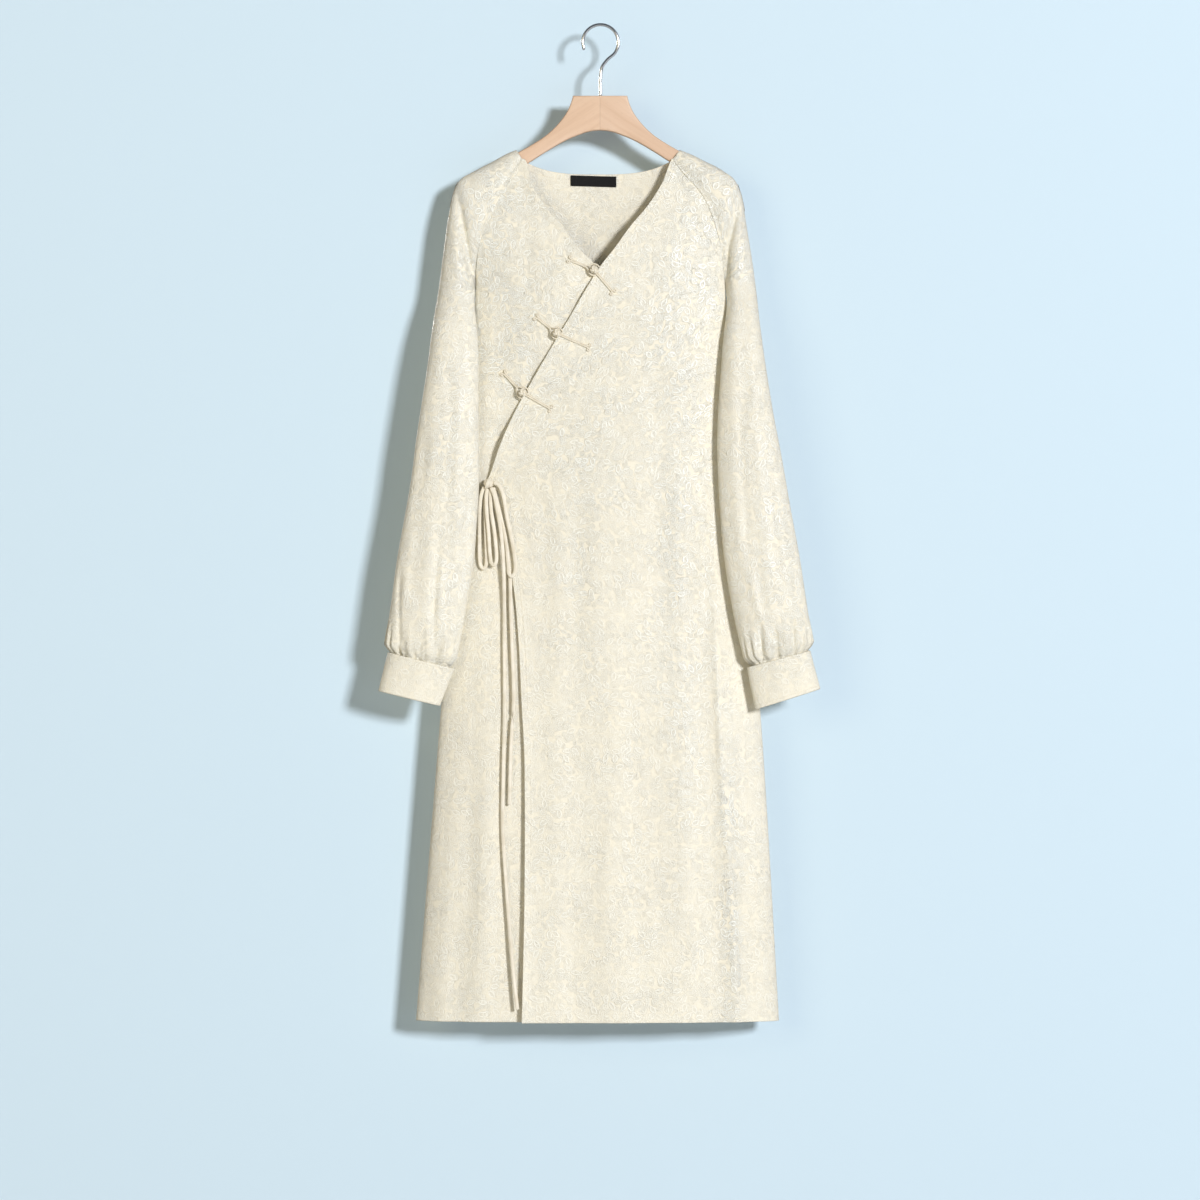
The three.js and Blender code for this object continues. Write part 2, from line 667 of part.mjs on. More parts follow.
// A point on a sleeve: around runs from -1 at the front seam, over the outer edge, to 1 at the back
function sleevePoint(side, table, around, z) {
  const open = z > ARMPIT;
  const inX = read(table, 'inX', z) + (z >= ARMPIT ? SLEEVE_GAP : 0);
  const reachX = read(table, 'outX', z) - inX;
  const reachZ = read(table, 'outZ', z) - z;
  const depth = read(table, 'depth', z);
  const edge = open ? Math.max(read(DEPTHS, 'edge', z), 0) : 0;
  const start = Math.asin(Math.min(edge / depth, 1));
  const angle = around * (Math.PI - start);
  const half = 1 / (1 + Math.cos(start));
  const share = 1 - half + half * Math.cos(angle);
  const y = depth * Math.sin(angle) - read(table, 'forward', z);
  return new THREE.Vector3(side * (inX + reachX * share), y, z + reachZ * share);
}

// How far the armhole crease sinks the front of a sleeve
function creaseSink(side, point, around) {
  if (around > 0 || point.z < CREASES.at(-1).z || point.z > CREASES[0].z) return 0;
  const place = read(CREASES, side < 0 ? 'left' : 'right', point.z);
  return read(CREASES, 'share', point.z) * bump(Math.abs(point.x) - place, CREASE_WIDTH);
}

// Standing height of the gathers above the cuff
function gatherRise(around, above) {
  const angle = around * Math.PI;
  const { drift, jitter, mean, swing } = GATHER_UNEVEN;
  const waves = GATHERS * angle + drift * Math.sin(2 * angle + 1) + jitter * Math.sin(5 * angle);
  const uneven = mean + swing * Math.sin(3 * angle + 2);
  const fade = 1 - smoothStep(above / (GATHER_FADE * uneven));
  return GATHER_RISE * uneven * fade * Math.cos(waves);
}

function sleeve({ side, table, wrist, creaseDepth }) {
  const surface = (u, z) => {
    const around = 2 * u - 1;
    const point = sleevePoint(side, table, around, z);
    point.y += creaseDepth * creaseSink(side, point, around);
    const rise = 1 + gatherRise(around, z - wrist) / read(table, 'depth', z);
    const middle = sleevePoint(side, table, 0, z).add(sleevePoint(side, table, 1, z)).multiplyScalar(0.5);
    return point.sub(middle).multiplyScalar(rise).add(middle);
  };
  const tubeRows = stepsDown(ARMPIT, wrist + GATHER_FADE, TUBE_ROWS);
  const gatherRows = stepsDown(wrist + GATHER_FADE, wrist, GATHER_ROWS);
  const rows = [...SEAM_ROWS, ...tubeRows, ...gatherRows];
  const plainRows = rows.length - GATHER_ROWS;
  const columns = (row) => (row < plainRows ? SLEEVE_COLUMNS : GATHER_COLUMNS);
  return clothWall({ surface, rows, columns, flip: side, closesFrom: SEAM_ROWS.length - 1 });
}

function cuff({ side, rows: table }) {
  const surface = (u, z) => sleevePoint(side, table, 2 * u - 1, z);
  const rows = [table[0].z, ...stepsDown(table[0].z, table.at(-1).z, CUFF_STEPS)];
  return clothWall({ surface, rows, columns: CUFF_COLUMNS, flip: side, closesFrom: 0, thick: CUFF_CLOTH });
}

// The bare label, made from the back panel's points and moved inwards
function label() {
  const surface = (u, z) => {
    const x = LABEL.left + (LABEL.right - LABEL.left) * u;
    const height = z - LABEL.slope * (x - LABEL.left);
    const point = bodyPoint(1, acrossAt(1, x, height), height);
    point.y -= CLOTH + TRIM_GAP;
    return point;
  };
  const rows = [LABEL.top, ...stepsDown(LABEL.top, LABEL.top - LABEL.height, LABEL_ROWS)];
  return clothWall({ surface, rows, columns: LABEL_COLUMNS, flip: -1, thick: LABEL.thick });
}

// A point of the front at a place, moved out along y
function onFront(panel, x, z, out) {
  const point = panel(acrossAt(-1, x, z), z);
  point.y -= out;
  return point;
}

// A strap lying on a panel from the frog's knot to a turned tab
function strap(panel, frog, endX, endZ, start) {
  const length = Math.hypot(endX - frog.x, endZ - frog.z);
  const along = [(endX - frog.x) / length, (endZ - frog.z) / length];
  const neck = length - TAB_LENGTH / 2;
  const surface = (u, v) => {
    const distance = -v;
    const wide = distance > neck + TAB_EDGE / 2 ? TAB_WIDTH : STRAP_WIDTH;
    const aside = wide * (u - 0.5);
    const x = frog.x + along[0] * distance + along[1] * aside;
    const z = frog.z + along[1] * distance - along[0] * aside;
    return onFront(panel, x, z, TRIM_GAP + STRAP_THICK);
  };
  const distances = [start, ...stepsDown(start, neck, STRAP_STEPS), neck + TAB_EDGE, length + TAB_LENGTH / 2];
  return clothWall({ surface, rows: distances.map((d) => -d), columns: 2, flip: -1, thick: STRAP_THICK });
}

function knotHalf(frog) {
  const ball = new THREE.SphereGeometry(KNOT_RADIUS, KNOT_SIDES, KNOT_RINGS);
  const seat = onFront(outerPoint, frog.x, frog.z, KNOT_RISE + TRIM_GAP);
  ball.translate(seat.x, seat.y, seat.z);
  const base = strap(outerPoint, frog, frog.knotX, frog.knotZ, KNOT_STRAP_START);
  return fromSolid(toSolid(ball).add(toSolid(base)));
}

// The loop half's ground: level with the outer front round the knot, then down on the under front
function loopGround(frog) {
  return (across, z) => {
    const top = outerPoint(across, z);
    const distance = Math.hypot(top.x - frog.x, z - frog.z) - RING_RADIUS;
    return top.lerp(underPoint(across, z), smoothStep(distance / LOOP_SLOPE));
  };
}

// The loop half: its strap, and an open ring of cord round the knot
function loopHalf(frog) {
  const toward = Math.atan2(frog.loopZ - frog.z, frog.loopX - frog.x);
  const ring = [];
  for (let i = 0; i <= RING_STEPS; i += 1) {
    const angle = toward + RING_TURN * ((2 * i) / RING_STEPS - 1);
    const x = frog.x + RING_RADIUS * Math.cos(angle);
    const z = frog.z + RING_RADIUS * Math.sin(angle);
    ring.push(onFront(outerPoint, x, z, RING_WIRE + TRIM_GAP));
  }
  const path = new THREE.CatmullRomCurve3(ring);
  const cord = tube(path, RING_STEPS, RING_WIRE, RING_WIRE, TIE_SIDES);
  const base = strap(loopGround(frog), frog, frog.loopX, frog.loopZ, RING_RADIUS - RING_WIRE / 2);
  return fromSolid(toSolid(cord).add(toSolid(base)));
}

// A tube of oval section along a curve
function tube(path, steps, halfThick, halfWide, sides) {
  const section = new THREE.Shape();
  for (let i = 0; i < sides; i += 1) {
    const angle = ((i + 0.5) / sides) * 2 * Math.PI;
    const [x, y] = [halfThick * Math.cos(angle), halfWide * Math.sin(angle)];
    if (i === 0) section.moveTo(x, y);
    else section.lineTo(x, y);
  }
  section.closePath();
  return new THREE.ExtrudeGeometry(section, { steps, extrudePath: path, bevelEnabled: false });
}

function tie({ route, steps }) {
  const points = route.map((place) => onFront(outerPoint, place.x, place.z, place.out));
  points[0].setY(points[1].y);
  const path = new THREE.CatmullRomCurve3(points);
  return tube(path, steps, TIE_HALF_THICK, TIE_HALF_WIDTH, TIE_SIDES);
}

function bowKnot() {
  const ball = new THREE.SphereGeometry(1, BOW.sides, BOW.rings);
  ball.scale(BOW.wide, BOW.deep, BOW.tall);
  const seat = onFront(outerPoint, BOW.x, BOW.z, BOW.out);
  return ball.translate(seat.x, seat.y, seat.z);
}

function hangerWood() {
  const right = [...WOOD_TOP, ...WOOD_UNDER];
  const left = right.map(({ x, z }) => ({ x: -x, z })).reverse();
  const outline = [...right, { x: 0, z: WOOD_ARCH }, ...left];
  const shape = new THREE.Shape(outline.map(({ x, z }) => new THREE.Vector2(x + WOOD_SHIFT, z)));
  const geometry = new THREE.ExtrudeGeometry(shape, {
    depth: WOOD_THICK - 2 * WOOD_ROUND,
    bevelThickness: WOOD_ROUND,
    bevelSize: WOOD_ROUND,
    bevelOffset: -WOOD_ROUND,
    bevelSegments: WOOD_ROUND_STEPS,
  });
  geometry.translate(0, 0, WOOD_ROUND - WOOD_THICK / 2);
  return geometry.rotateX(Math.PI / 2);
}

// The wire's centre line: up the rod, then round over the rail to the open end
function hangerHook() {
  const centre = -HOOK_RADIUS + WIRE / 2;
  const points = ROD_ROUTE.map(({ x, z }) => new THREE.Vector3(x, 0, z));
  for (let i = 0; i <= HOOK_TURN_STEPS; i += 1) {
    const share = i / HOOK_TURN_STEPS;
    const angle = THREE.MathUtils.degToRad(HOOK_START + (HOOK_END - HOOK_START) * share);
    points.push(new THREE.Vector3(HOOK_RADIUS * Math.cos(angle), 0, centre + HOOK_RADIUS * Math.sin(angle)));
  }
  const path = new THREE.CatmullRomCurve3(points);
  return tube(path, HOOK_STEPS, WIRE / 2, WIRE / 2, WIRE_SIDES);
}

function addPiece(group, name, geometry, finish) {
  const mesh = new THREE.Mesh(geometry, new THREE.MeshStandardMaterial(finish));
  mesh.name = name;
  group.add(mesh);
}

const dress = new THREE.Group();
addPiece(dress, 'front_outer', outerFront(), IVORY);
addPiece(dress, 'front_under', underFront(), IVORY);
addPiece(dress, 'back', backPanel(), IVORY);
SLEEVES.forEach((piece) => addPiece(dress, piece.name, sleeve(piece), IVORY));
CUFFS.forEach((piece) => addPiece(dress, piece.name, cuff(piece), IVORY));
addPiece(dress, 'label', label(), BLACK);
FROGS.forEach((frog, i) => {
  addPiece(dress, `frog_${i + 1}_knot`, knotHalf(frog), IVORY);
  addPiece(dress, `frog_${i + 1}_loop`, loopHalf(frog), IVORY);
});
addPiece(dress, 'bow_knot', bowKnot(), IVORY);
TIES.forEach((piece) => addPiece(dress, piece.name, tie(piece), IVORY));
addPiece(dress, 'hanger_wood', hangerWood(), BEECH);
addPiece(dress, 'hanger_hook', hangerHook(), STEEL);

export default dress;
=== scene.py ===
# A long wrap dress of ivory silk jacquard on a wooden hanger.
# Metres. +X is the viewer's right, +Z is up and the front faces -Y.
import math

import bmesh
import bpy
import numpy as np
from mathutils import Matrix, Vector


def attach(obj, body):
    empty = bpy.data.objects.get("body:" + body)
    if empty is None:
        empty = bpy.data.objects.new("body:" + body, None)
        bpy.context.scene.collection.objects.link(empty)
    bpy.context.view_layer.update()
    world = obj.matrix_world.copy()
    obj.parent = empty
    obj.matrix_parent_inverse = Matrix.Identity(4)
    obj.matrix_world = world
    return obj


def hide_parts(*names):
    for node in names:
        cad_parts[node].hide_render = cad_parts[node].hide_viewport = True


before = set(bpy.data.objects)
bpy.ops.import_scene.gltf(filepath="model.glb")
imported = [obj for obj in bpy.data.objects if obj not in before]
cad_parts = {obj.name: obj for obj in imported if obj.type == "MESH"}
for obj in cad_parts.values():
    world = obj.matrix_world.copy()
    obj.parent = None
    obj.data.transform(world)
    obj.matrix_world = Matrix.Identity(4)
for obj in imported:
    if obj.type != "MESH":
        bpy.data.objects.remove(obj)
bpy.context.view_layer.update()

BODY = "root"
FULL_TURN = 2 * math.pi
SMALLEST = 1e-9


# Reading tables and shaping curves
def table(columns, values):
    """A table with named columns."""
    return dict(zip(columns.split(), np.array(values, float).T))


def read(source, column, z):
    """One column of a table at a height, as a smooth curve through its rows, which run downwards."""
    heights, values = source["z"], source[column]
    last = len(heights) - 1
    row = np.clip(np.searchsorted(-heights, -np.asarray(z, float)) - 1, 0, last - 1)
    before, after = np.maximum(row - 1, 0), np.minimum(row + 2, last)
    span = heights[row + 1] - heights[row]
    t = (z - heights[row]) / span
    slope_a = (values[row + 1] - values[before]) / (heights[row + 1] - heights[before])
    slope_b = (values[after] - values[row]) / (heights[after] - heights[row])
    ease = t * t * (3 - 2 * t)
    pull = slope_a * t * (1 - t) ** 2 - slope_b * t * t * (1 - t)
    return values[row] + (values[row + 1] - values[row]) * ease + pull * span


def smooth_step(value):
    t = np.clip(value, 0, 1)
    return t * t * (3 - 2 * t)


def bump(distance, width):
    return np.exp(-((distance / width) ** 2))


def rows_of(source):
    """The rows of a table, each as a dictionary of its columns."""
    return [dict(zip(source, row)) for row in zip(*source.values())]


# Cloth, seams and heights
SHEET = 0.0009
CUFF_SHEET = 0.002
CLOTH = 0.0012
SEAM_GAP = 0.0004
SLEEVE_GAP = 0.00035
SIDE_TRIM = 0.005
LAYER_GAP = 0.0022
TRIM_GAP = 0.0004
NECK_TOP = -0.172
ARMPIT = -0.34
HEM = -1.282
LEFT_WRIST = -0.8284
RIGHT_WRIST = -0.8266

# Spread and run of the standing-off edge, the tuck behind it and the long folds
LIFT_WIDTH = 0.022
TUCK_WIDTH = 0.05
TUCK_FADE = 8
FOLD_RUN = 0.42
FOLD_FADE = 4
BACK_NECK_DROP = 0.0186
BACK_NECK_POWER = 3
BACK_LEVEL = -0.262
CREASE_WIDTH = 0.009
CREASE_CORE_WIDTH = 0.0032
CREASE_CORE_SHARE = 0.55
SIDE_FADE_START = 0.86
EDGE_FREE = 0.02

# How a listed crease varies along its length, and how its ends run out
CREASE_MEAN = 0.75
CREASE_SWING = 0.25
CREASE_DRIFT = 61
CREASE_WAVE = 7
CREASE_OVERRUN = 0.06
CREASE_END = 0.3
CREASE_NARROW = 0.8
CREASE_WIDEN = 0.4

# Turned facings and the dip of their stitching
NECK_FACING = 0.0085
HEM_TURN = 0.012
FACING_STEP = 0.00028
FACING_SLOPE = 0.0012
FACING_DIP = 0.00032
FACING_DIP_WIDTH = 0.0007

# Gathers of a sleeve into its cuff
GATHERS = 20
GATHER_RISE = 0.0013
GATHER_FADE = 0.062
GATHER_DRIFT = 0.9
GATHER_JITTER = 0.6
GATHER_MEAN = 0.7
GATHER_SWING = 0.3
FINE_GATHERS = 47
FINE_DRIFT = 1.3
FINE_JITTER = 0.9
FINE_MEAN = 0.55
FINE_SWING = 0.45
FINE_RISE = 0.0004
FINE_RUN = 0.008
FINE_RUN_SPREAD = 0.03
PINCH_RUN = 0.006
PINCH_SHARE = 0.55
PUFF_DEPTH = 0.0024
PUFF_RUN = 0.014

# Cuffs: their softness, and the dips of their two rows of stitching
CUFF_SOFT = 0.0005
CUFF_SOFT_FINE = 0.0003
CUFF_SOFT_LEAN = 40
CUFF_DIP = 0.00025
CUFF_DIP_WIDTH = 0.0008
CUFF_TOP_LINE = 0.0025
CUFF_LOW_LINE = 0.004

# Ties
TIE_WIDTH = 0.0048
TIE_THICK = 0.0022

SIDES = table("z left right", [
    (-0.16, -0.095, 0.088),
    (-0.172, -0.1012, 0.0935),
    (-0.191, -0.1122, 0.1075),
    (-0.212, -0.125, 0.127),
    (-0.228, -0.1333, 0.1368),
    (-0.246, -0.1426, 0.1442),
    (-0.278, -0.1553, 0.1536),
    (-0.312, -0.1606, 0.1584),
    (-0.34, -0.1608, 0.161),
    (-0.895, -0.207, 0.207),
    (-1.282, -0.238, 0.2303),
])

DEPTHS = table("z front back edge", [
    (-0.16, 0.0096, 0.0096, 0.008),
    (-0.172, 0.01, 0.01, 0.0085),
    (-0.191, 0.012, 0.0116, 0.01),
    (-0.218, 0.015, 0.0138, 0.0115),
    (-0.246, 0.0185, 0.016, 0.0122),
    (-0.262, 0.0206, 0.0173, 0.0118),
    (-0.278, 0.0225, 0.0185, 0.0104),
    (-0.295, 0.0243, 0.0196, 0.008),
    (-0.312, 0.026, 0.0206, 0.0052),
    (-0.326, 0.0274, 0.0213, 0.0026),
    (-0.335, 0.028, 0.0218, 0.0009),
    (-0.34, 0.0284, 0.022, 0.0),
    (-0.45, 0.031, 0.025, 0.0),
    (-0.7, 0.033, 0.028, 0.0),
    (-1.0, 0.036, 0.031, 0.0),
    (-1.282, 0.04, 0.034, 0.0),
])

OUTER_EDGE = table("z x", [
    (-0.1607, 0.097),
    (-0.1771, 0.0897),
    (-0.2051, 0.0786),
    (-0.234, 0.06),
    (-0.2586, 0.0393),
    (-0.2874, 0.0187),
    (-0.3132, -0.0013),
    (-0.3428, -0.0194),
    (-0.377, -0.0393),
    (-0.4035, -0.0555),
    (-0.4486, -0.0819),
    (-0.4944, -0.1077),
    (-0.5338, -0.1258),
    (-0.575, -0.1404),
    (-0.589, -0.145),
    (-0.612, -0.14),
    (-0.65, -0.1296),
    (-0.7144, -0.1129),
    (-0.7918, -0.1051),
    (-0.8692, -0.1013),
    (-0.9466, -0.0974),
    (-1.127, -0.0974),
    (-1.282, -0.1006),
])

UNDER_EDGE = table("z x", [
    (-0.1619, -0.1046),
    (-0.1784, -0.0943),
    (-0.2048, -0.0884),
    (-0.238, -0.0677),
    (-0.2627, -0.0471),
    (-0.2936, -0.0226),
    (-0.312, -0.0045),
    (-0.345, 0.012),
    (-0.4, 0.03),
    (-0.48, 0.04),
    (-0.7, 0.043),
    (-1.282, 0.043),
])

EDGE_LIFT = table("z lift", [
    (-0.172, 0.0),
    (-0.313, 0.0004),
    (-0.4, 0.001),
    (-0.5, 0.0018),
    (-0.55, 0.0026),
    (-0.589, 0.0006),
    (-0.7, 0.0014),
    (-0.8, 0.002),
    (-0.92, 0.004),
    (-1.1, 0.0065),
    (-1.282, 0.0085),
])

# Where the free edge stands further off between its fastenings, and the cloth under it dips
EDGE_STAND = table("z rise run", [
    (-0.346, 0.0028, 0.014),
    (-0.447, 0.0024, 0.014),
    (-0.540, 0.0055, 0.030),
])
UNDER_DIP = 0.003
UNDER_DIP_HEIGHT = -0.54
UNDER_DIP_WIDTH = 0.016
UNDER_DIP_RUN = 0.030

FRONT_FOLDS = table("hem start rise spread", [
    (-0.205, -0.7, 0.003, 0.013),
    (-0.16, -0.82, 0.0026, 0.016),
    (-0.062, -0.64, 0.0024, 0.022),
    (0.022, -0.52, 0.003, 0.03),
    (0.108, -0.6, 0.0026, 0.024),
    (0.176, -0.56, 0.005, 0.013),
])

BACK_FOLDS = table("hem start rise spread", [
    (-0.178, -0.6, 0.004, 0.017),
    (-0.096, -0.48, 0.0034, 0.026),
    (-0.014, -0.68, 0.0026, 0.022),
    (0.074, -0.54, 0.0036, 0.028),
    (0.164, -0.64, 0.0042, 0.018),
])

LEFT_SLEEVE = table("z out_x out_z in_x depth forward", [
    (-0.172, 0.109, -0.1597, 0.1012, 0.0088, 0.0),
    (-0.18, 0.122, -0.1652, 0.1058, 0.011, 0.0),
    (-0.191, 0.138, -0.1742, 0.1122, 0.0126, 0.0),
    (-0.204, 0.154, -0.1824, 0.1202, 0.0134, 0.0),
    (-0.218, 0.168, -0.1899, 0.1282, 0.0138, 0.0),
    (-0.232, 0.177, -0.1948, 0.1354, 0.014, 0.0),
    (-0.246, 0.184, -0.202, 0.1426, 0.0144, 0.0),
    (-0.262, 0.189, -0.214, 0.1493, 0.0148, 0.0),
    (-0.278, 0.193, -0.23, 0.1553, 0.015, 0.0),
    (-0.295, 0.197, -0.25, 0.159, 0.0153, 0.0),
    (-0.312, 0.2006, -0.276, 0.1606, 0.0156, 0.0),
    (-0.326, 0.204, -0.302, 0.1608, 0.0158, 0.0),
    (-0.335, 0.2065, -0.323, 0.1608, 0.016, 0.0),
    (-0.34, 0.2086, -0.338, 0.1608, 0.016, 0.0006),
    (-0.352, 0.2105, -0.352, 0.1624, 0.016, 0.005),
    (-0.37, 0.2135, -0.37, 0.1614, 0.016, 0.011),
    (-0.4, 0.2176, -0.4, 0.158, 0.016, 0.0185),
    (-0.44, 0.2225, -0.44, 0.1567, 0.016, 0.024),
    (-0.533, 0.2366, -0.533, 0.1563, 0.0165, 0.027),
    (-0.585, 0.2432, -0.585, 0.1556, 0.017, 0.028),
    (-0.637, 0.2522, -0.637, 0.1586, 0.0175, 0.0285),
    (-0.688, 0.261, -0.686, 0.1622, 0.0185, 0.0295),
    (-0.745, 0.268, -0.738, 0.1712, 0.02, 0.0305),
    (-0.79, 0.2734, -0.776, 0.1792, 0.0195, 0.03),
    (-0.812, 0.2746, -0.794, 0.1836, 0.0175, 0.029),
    (-0.8284, 0.2741, -0.8072, 0.1871, 0.015, 0.028),
])

RIGHT_SLEEVE = table("z out_x out_z in_x depth forward", [
    (-0.172, 0.1026, -0.1597, 0.0935, 0.0088, 0.0),
    (-0.18, 0.117, -0.1654, 0.0988, 0.011, 0.0),
    (-0.191, 0.134, -0.174, 0.1075, 0.0126, 0.0),
    (-0.204, 0.1505, -0.182, 0.1198, 0.0134, 0.0),
    (-0.218, 0.163, -0.19, 0.131, 0.0138, 0.0),
    (-0.232, 0.1714, -0.1964, 0.1388, 0.014, 0.0),
    (-0.246, 0.1766, -0.2045, 0.1442, 0.0144, 0.0),
    (-0.262, 0.181, -0.217, 0.1492, 0.0148, 0.0),
    (-0.278, 0.1844, -0.232, 0.1536, 0.015, 0.0),
    (-0.295, 0.1876, -0.252, 0.1564, 0.0153, 0.0),
    (-0.312, 0.1916, -0.277, 0.1584, 0.0156, 0.0),
    (-0.326, 0.1958, -0.303, 0.1598, 0.0158, 0.0),
    (-0.335, 0.1986, -0.323, 0.1606, 0.016, 0.0),
    (-0.34, 0.2005, -0.338, 0.161, 0.016, 0.0006),
    (-0.352, 0.202, -0.352, 0.1628, 0.016, 0.005),
    (-0.37, 0.2036, -0.37, 0.1618, 0.016, 0.011),
    (-0.4, 0.207, -0.4, 0.1582, 0.016, 0.019),
    (-0.44, 0.2124, -0.44, 0.155, 0.016, 0.025),
    (-0.503, 0.2224, -0.503, 0.1508, 0.0164, 0.0285),
    (-0.552, 0.2318, -0.552, 0.1498, 0.017, 0.03),
    (-0.62, 0.2436, -0.62, 0.1529, 0.0175, 0.0305),
    (-0.687, 0.2556, -0.685, 0.1587, 0.0185, 0.031),
    (-0.754, 0.265, -0.747, 0.1696, 0.02, 0.0315),
    (-0.79, 0.2696, -0.776, 0.1774, 0.0195, 0.031),
    (-0.811, 0.2708, -0.792, 0.183, 0.0175, 0.03),
    (-0.8266, 0.2703, -0.8047, 0.1877, 0.015, 0.029),
])

CREASES = table("z left right share", [
    (-0.2, 0.187, 0.181, 0),
    (-0.218, 0.184, 0.177, 0.5),
    (-0.263, 0.175, 0.168, 1),
    (-0.305, 0.168, 0.1635, 1),
    (-0.35, 0.16, 0.16, 0.4),
    (-0.38, 0.158, 0.158, 0),
])

FROGS = table("x z loop_x loop_z knot_x knot_z", [
    (-0.0084, -0.316, -0.04, -0.3025, 0.0166, -0.3452),
    (-0.0561, -0.3975, -0.0824, -0.3766, -0.0144, -0.4159),
    (-0.1, -0.474, -0.1246, -0.4482, -0.0634, -0.4948),
])

WOOD_TOP = table("x z", [
    (0.035, -0.09),
    (0.038, -0.1003),
    (0.0426, -0.1106),
    (0.0497, -0.121),
    (0.0587, -0.1313),
    (0.0703, -0.1416),
    (0.0858, -0.1519),
    (0.108, -0.1642),
    (0.124, -0.1714),
    (0.139, -0.179),
    (0.154, -0.1866),
    (0.163, -0.1918),
    (0.1674, -0.1972),
])

WOOD_SHIFT = -0.0006

WOOD_UNDER = table("x z", [
    (0.167, -0.202),
    (0.162, -0.2056),
    (0.15, -0.2036),
    (0.12, -0.1914),
    (0.093, -0.177),
    (0.07, -0.1624),
    (0.043, -0.147),
    (0.02, -0.1376),
])

LEFT_CUFF = table("z out_x out_z in_x depth forward", [
    (-0.8292, 0.2736, -0.808, 0.1876, 0.0144, 0.028),
    (-0.852, 0.2794, -0.832, 0.1966, 0.0142, 0.028),
    (-0.8756, 0.2847, -0.8563, 0.2054, 0.014, 0.028),
])

RIGHT_CUFF = table("z out_x out_z in_x depth forward", [
    (-0.8274, 0.2698, -0.8055, 0.1882, 0.0144, 0.029),
    (-0.854, 0.2758, -0.83, 0.193, 0.0142, 0.029),
    (-0.8801, 0.2817, -0.8537, 0.198, 0.014, 0.029),
])

TIES = {
    "bow_loop_1": table("x z out", [
        (-0.1496, -0.5956, 0.0078),
        (-0.1528, -0.604, 0.0078),
        (-0.1552, -0.625, 0.0064),
        (-0.1556, -0.66, 0.0044),
        (-0.1554, -0.688, 0.0034),
        (-0.1536, -0.6964, 0.0032),
        (-0.1504, -0.6994, 0.0032),
        (-0.1474, -0.696, 0.0032),
        (-0.1464, -0.688, 0.0032),
        (-0.147, -0.66, 0.0032),
        (-0.1482, -0.625, 0.0036),
        (-0.1478, -0.606, 0.0039),
        (-0.1468, -0.5976, 0.004),
    ]),
    "bow_loop_2": table("x z out", [
        (-0.1456, -0.5984, 0.008),
        (-0.1466, -0.606, 0.008),
        (-0.1462, -0.625, 0.0074),
        (-0.1436, -0.655, 0.0064),
        (-0.1416, -0.684, 0.006),
        (-0.1402, -0.692, 0.006),
        (-0.1372, -0.6952, 0.006),
        (-0.1342, -0.692, 0.006),
        (-0.1334, -0.684, 0.0056),
        (-0.1358, -0.655, 0.0048),
        (-0.1404, -0.625, 0.0046),
        (-0.1418, -0.606, 0.0051),
        (-0.142, -0.5988, 0.0053),
    ]),
    "bow_loop_3": table("x z out", [
        (-0.1362, -0.5898, 0.0074),
        (-0.1306, -0.5928, 0.0074),
        (-0.1254, -0.604, 0.007),
        (-0.1196, -0.636, 0.0064),
        (-0.113, -0.668, 0.0058),
        (-0.1092, -0.698, 0.0054),
        (-0.1106, -0.7064, 0.0052),
        (-0.114, -0.7096, 0.005),
        (-0.1174, -0.706, 0.005),
        (-0.1184, -0.696, 0.0048),
        (-0.121, -0.668, 0.0044),
        (-0.128, -0.634, 0.0044),
        (-0.1344, -0.608, 0.0044),
        (-0.1374, -0.5966, 0.0046),
    ]),
    "tail_long": table("x z out", [
        (-0.14, -0.5966, 0.0074),
        (-0.1364, -0.606, 0.0074),
        (-0.1314, -0.6305, 0.0072),
        (-0.1274, -0.656, 0.007),
        (-0.1246, -0.6886, 0.0064),
        (-0.1236, -0.74, 0.0032),
        (-0.1236, -0.792, 0.0022),
        (-0.1232, -0.869, 0.0022),
        (-0.1252, -0.985, 0.0022),
        (-0.1258, -1.03, 0.0022),
        (-0.1213, -1.101, 0.0022),
        (-0.1142, -1.192, 0.0022),
        (-0.1064, -1.2639, 0.0022),
    ]),
    "tail_short": table("x z out", [
        (-0.1414, -0.5974, 0.0019),
        (-0.1388, -0.606, 0.0019),
        (-0.129, -0.64, 0.0019),
        (-0.1196, -0.684, 0.0019),
        (-0.1161, -0.713, 0.0019),
        (-0.1156, -0.74, 0.0019),
        (-0.1138, -0.792, 0.0019),
        (-0.1116, -0.869, 0.0019),
        (-0.1146, -0.921, 0.0019),
        (-0.117, -1.002, 0.0019),
    ]),
}
